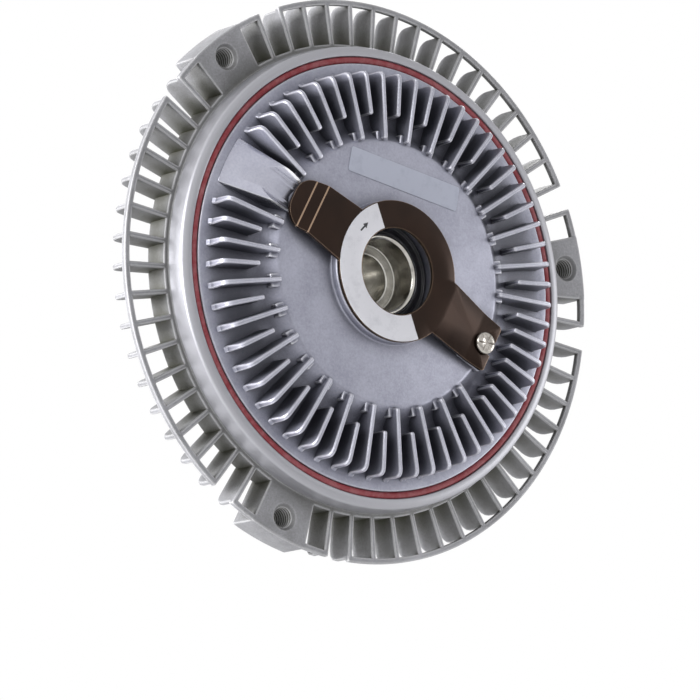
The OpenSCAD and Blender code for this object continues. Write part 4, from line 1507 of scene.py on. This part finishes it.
@dataclass
class Studio:
    """Pale floor, white surroundings and the camera at the photograph's angle, in metres."""

    floor_z: float = -0.40
    floor_half: float = 4.0
    floor_colour: str = "#E8E8E8"
    floor_glow: float = 0.25
    white: str = "#FFFFFF"
    room_light: float = 0.25
    azimuth: float = -36.28
    elevation: float = -9.92
    distance: float = 1.70
    right: float = 0.00417
    up: float = 0.02354
    sees_to: float = 50.0
    # Focal length and sensor in millimetres
    lens: float = 259.9
    sensor: float = 36.0

    def shown(self, tree: Tree) -> Socket:
        """Tells what the camera, a reflection or glass sees from what only lights the clutch.

        Args:
            tree: Node tree of the floor or the surroundings.

        Returns:
            Socket that is 1 for a camera, glossy or transmission ray.
        """
        path = add(tree, "ShaderNodeLightPath").outputs
        seen = add(tree, "ShaderNodeMath", {0: path["Is Camera Ray"], 1: path["Is Glossy Ray"]},
                   operation="MAXIMUM")
        return add(tree, "ShaderNodeMath", {0: seen.outputs[0], 1: path["Is Transmission Ray"]},
                   operation="MAXIMUM").outputs[0]

    def floor(self) -> None:
        """Lays the matte floor, pale to the camera and in reflections."""
        bm = bmesh.new()
        bmesh.ops.create_grid(bm, x_segments=8, y_segments=8, size=self.floor_half)
        mesh = bpy.data.meshes.new("floor")
        moved(bm, (0, 0, self.floor_z)).to_mesh(mesh)
        bm.free()
        matte = bpy.data.materials.new("pale_floor")
        matte.use_nodes = True
        tree = matte.node_tree
        tree.nodes.clear()
        glow = add(tree, "ShaderNodeMapRange", {"Value": self.shown(tree), "To Max": self.floor_glow})
        shader = add(tree, "ShaderNodeBsdfPrincipled",
                     {"Base Color": linear(self.floor_colour), "Roughness": 0.9,
                      "Emission Color": linear(self.white), "Emission Strength": glow.outputs[0]})
        add(tree, "ShaderNodeOutputMaterial", {"Surface": shader.outputs[0]})
        mesh.materials.append(matte)
        floor = bpy.data.objects.new("floor", mesh)
        bpy.context.scene.collection.objects.link(floor)

    def surroundings(self) -> None:
        """Sets the room, white to the camera and in reflections, softer as a light."""
        world = bpy.data.worlds.new("white_room")
        world.use_nodes = True
        tree = world.node_tree
        tree.nodes.clear()
        strength = add(tree, "ShaderNodeMapRange",
                       {"Value": self.shown(tree), "To Min": self.room_light, "To Max": 1.0})
        light = add(tree, "ShaderNodeBackground",
                    {"Color": linear(self.white), "Strength": strength.outputs[0]})
        add(tree, "ShaderNodeOutputWorld", {"Surface": light.outputs[0]})
        bpy.context.scene.world = world

    def camera(self) -> None:
        """Sets the camera where the photograph was taken from."""
        turn, rise = math.radians(self.azimuth), math.radians(self.elevation)
        right = Vector((math.cos(turn), math.sin(turn), 0))
        back = Vector((math.sin(turn) * math.cos(rise), -math.cos(turn) * math.cos(rise), math.sin(rise)))
        up = back.cross(right)
        centre = Vector((0, -LEVEL.fan_seat * MM, 0))
        data = bpy.data.cameras.new("camera")
        data.lens = self.lens
        data.sensor_width = self.sensor
        data.clip_end = self.sees_to
        camera = bpy.data.objects.new("camera", data)
        place = centre + self.distance * back - self.right * right - self.up * up
        camera.matrix_world = Matrix.Translation(place) @ Matrix((right, up, back)).transposed().to_4x4()
        bpy.context.scene.collection.objects.link(camera)
        bpy.context.scene.camera = camera

    def build(self) -> None:
        """Sets up the whole studio."""
        self.floor()
        self.surroundings()
        for lamp in LAMPS:
            lamp.hang()
        self.camera()
        bpy.context.scene.view_settings.view_transform = "Standard"


def main() -> None:
    """Builds the clutch in order, then the studio."""
    logging.basicConfig(level=logging.INFO, format="%(name)s %(message)s")
    for part in (RearHousing(), FrontCover(), Seals(), DriveHub(), BimetalStrip(), CoverLabel(), InnerWorks(),
                 Studio()):
        part.build()
        log.info("%s done", type(part).__name__)


if __name__ == "__main__":
    main()
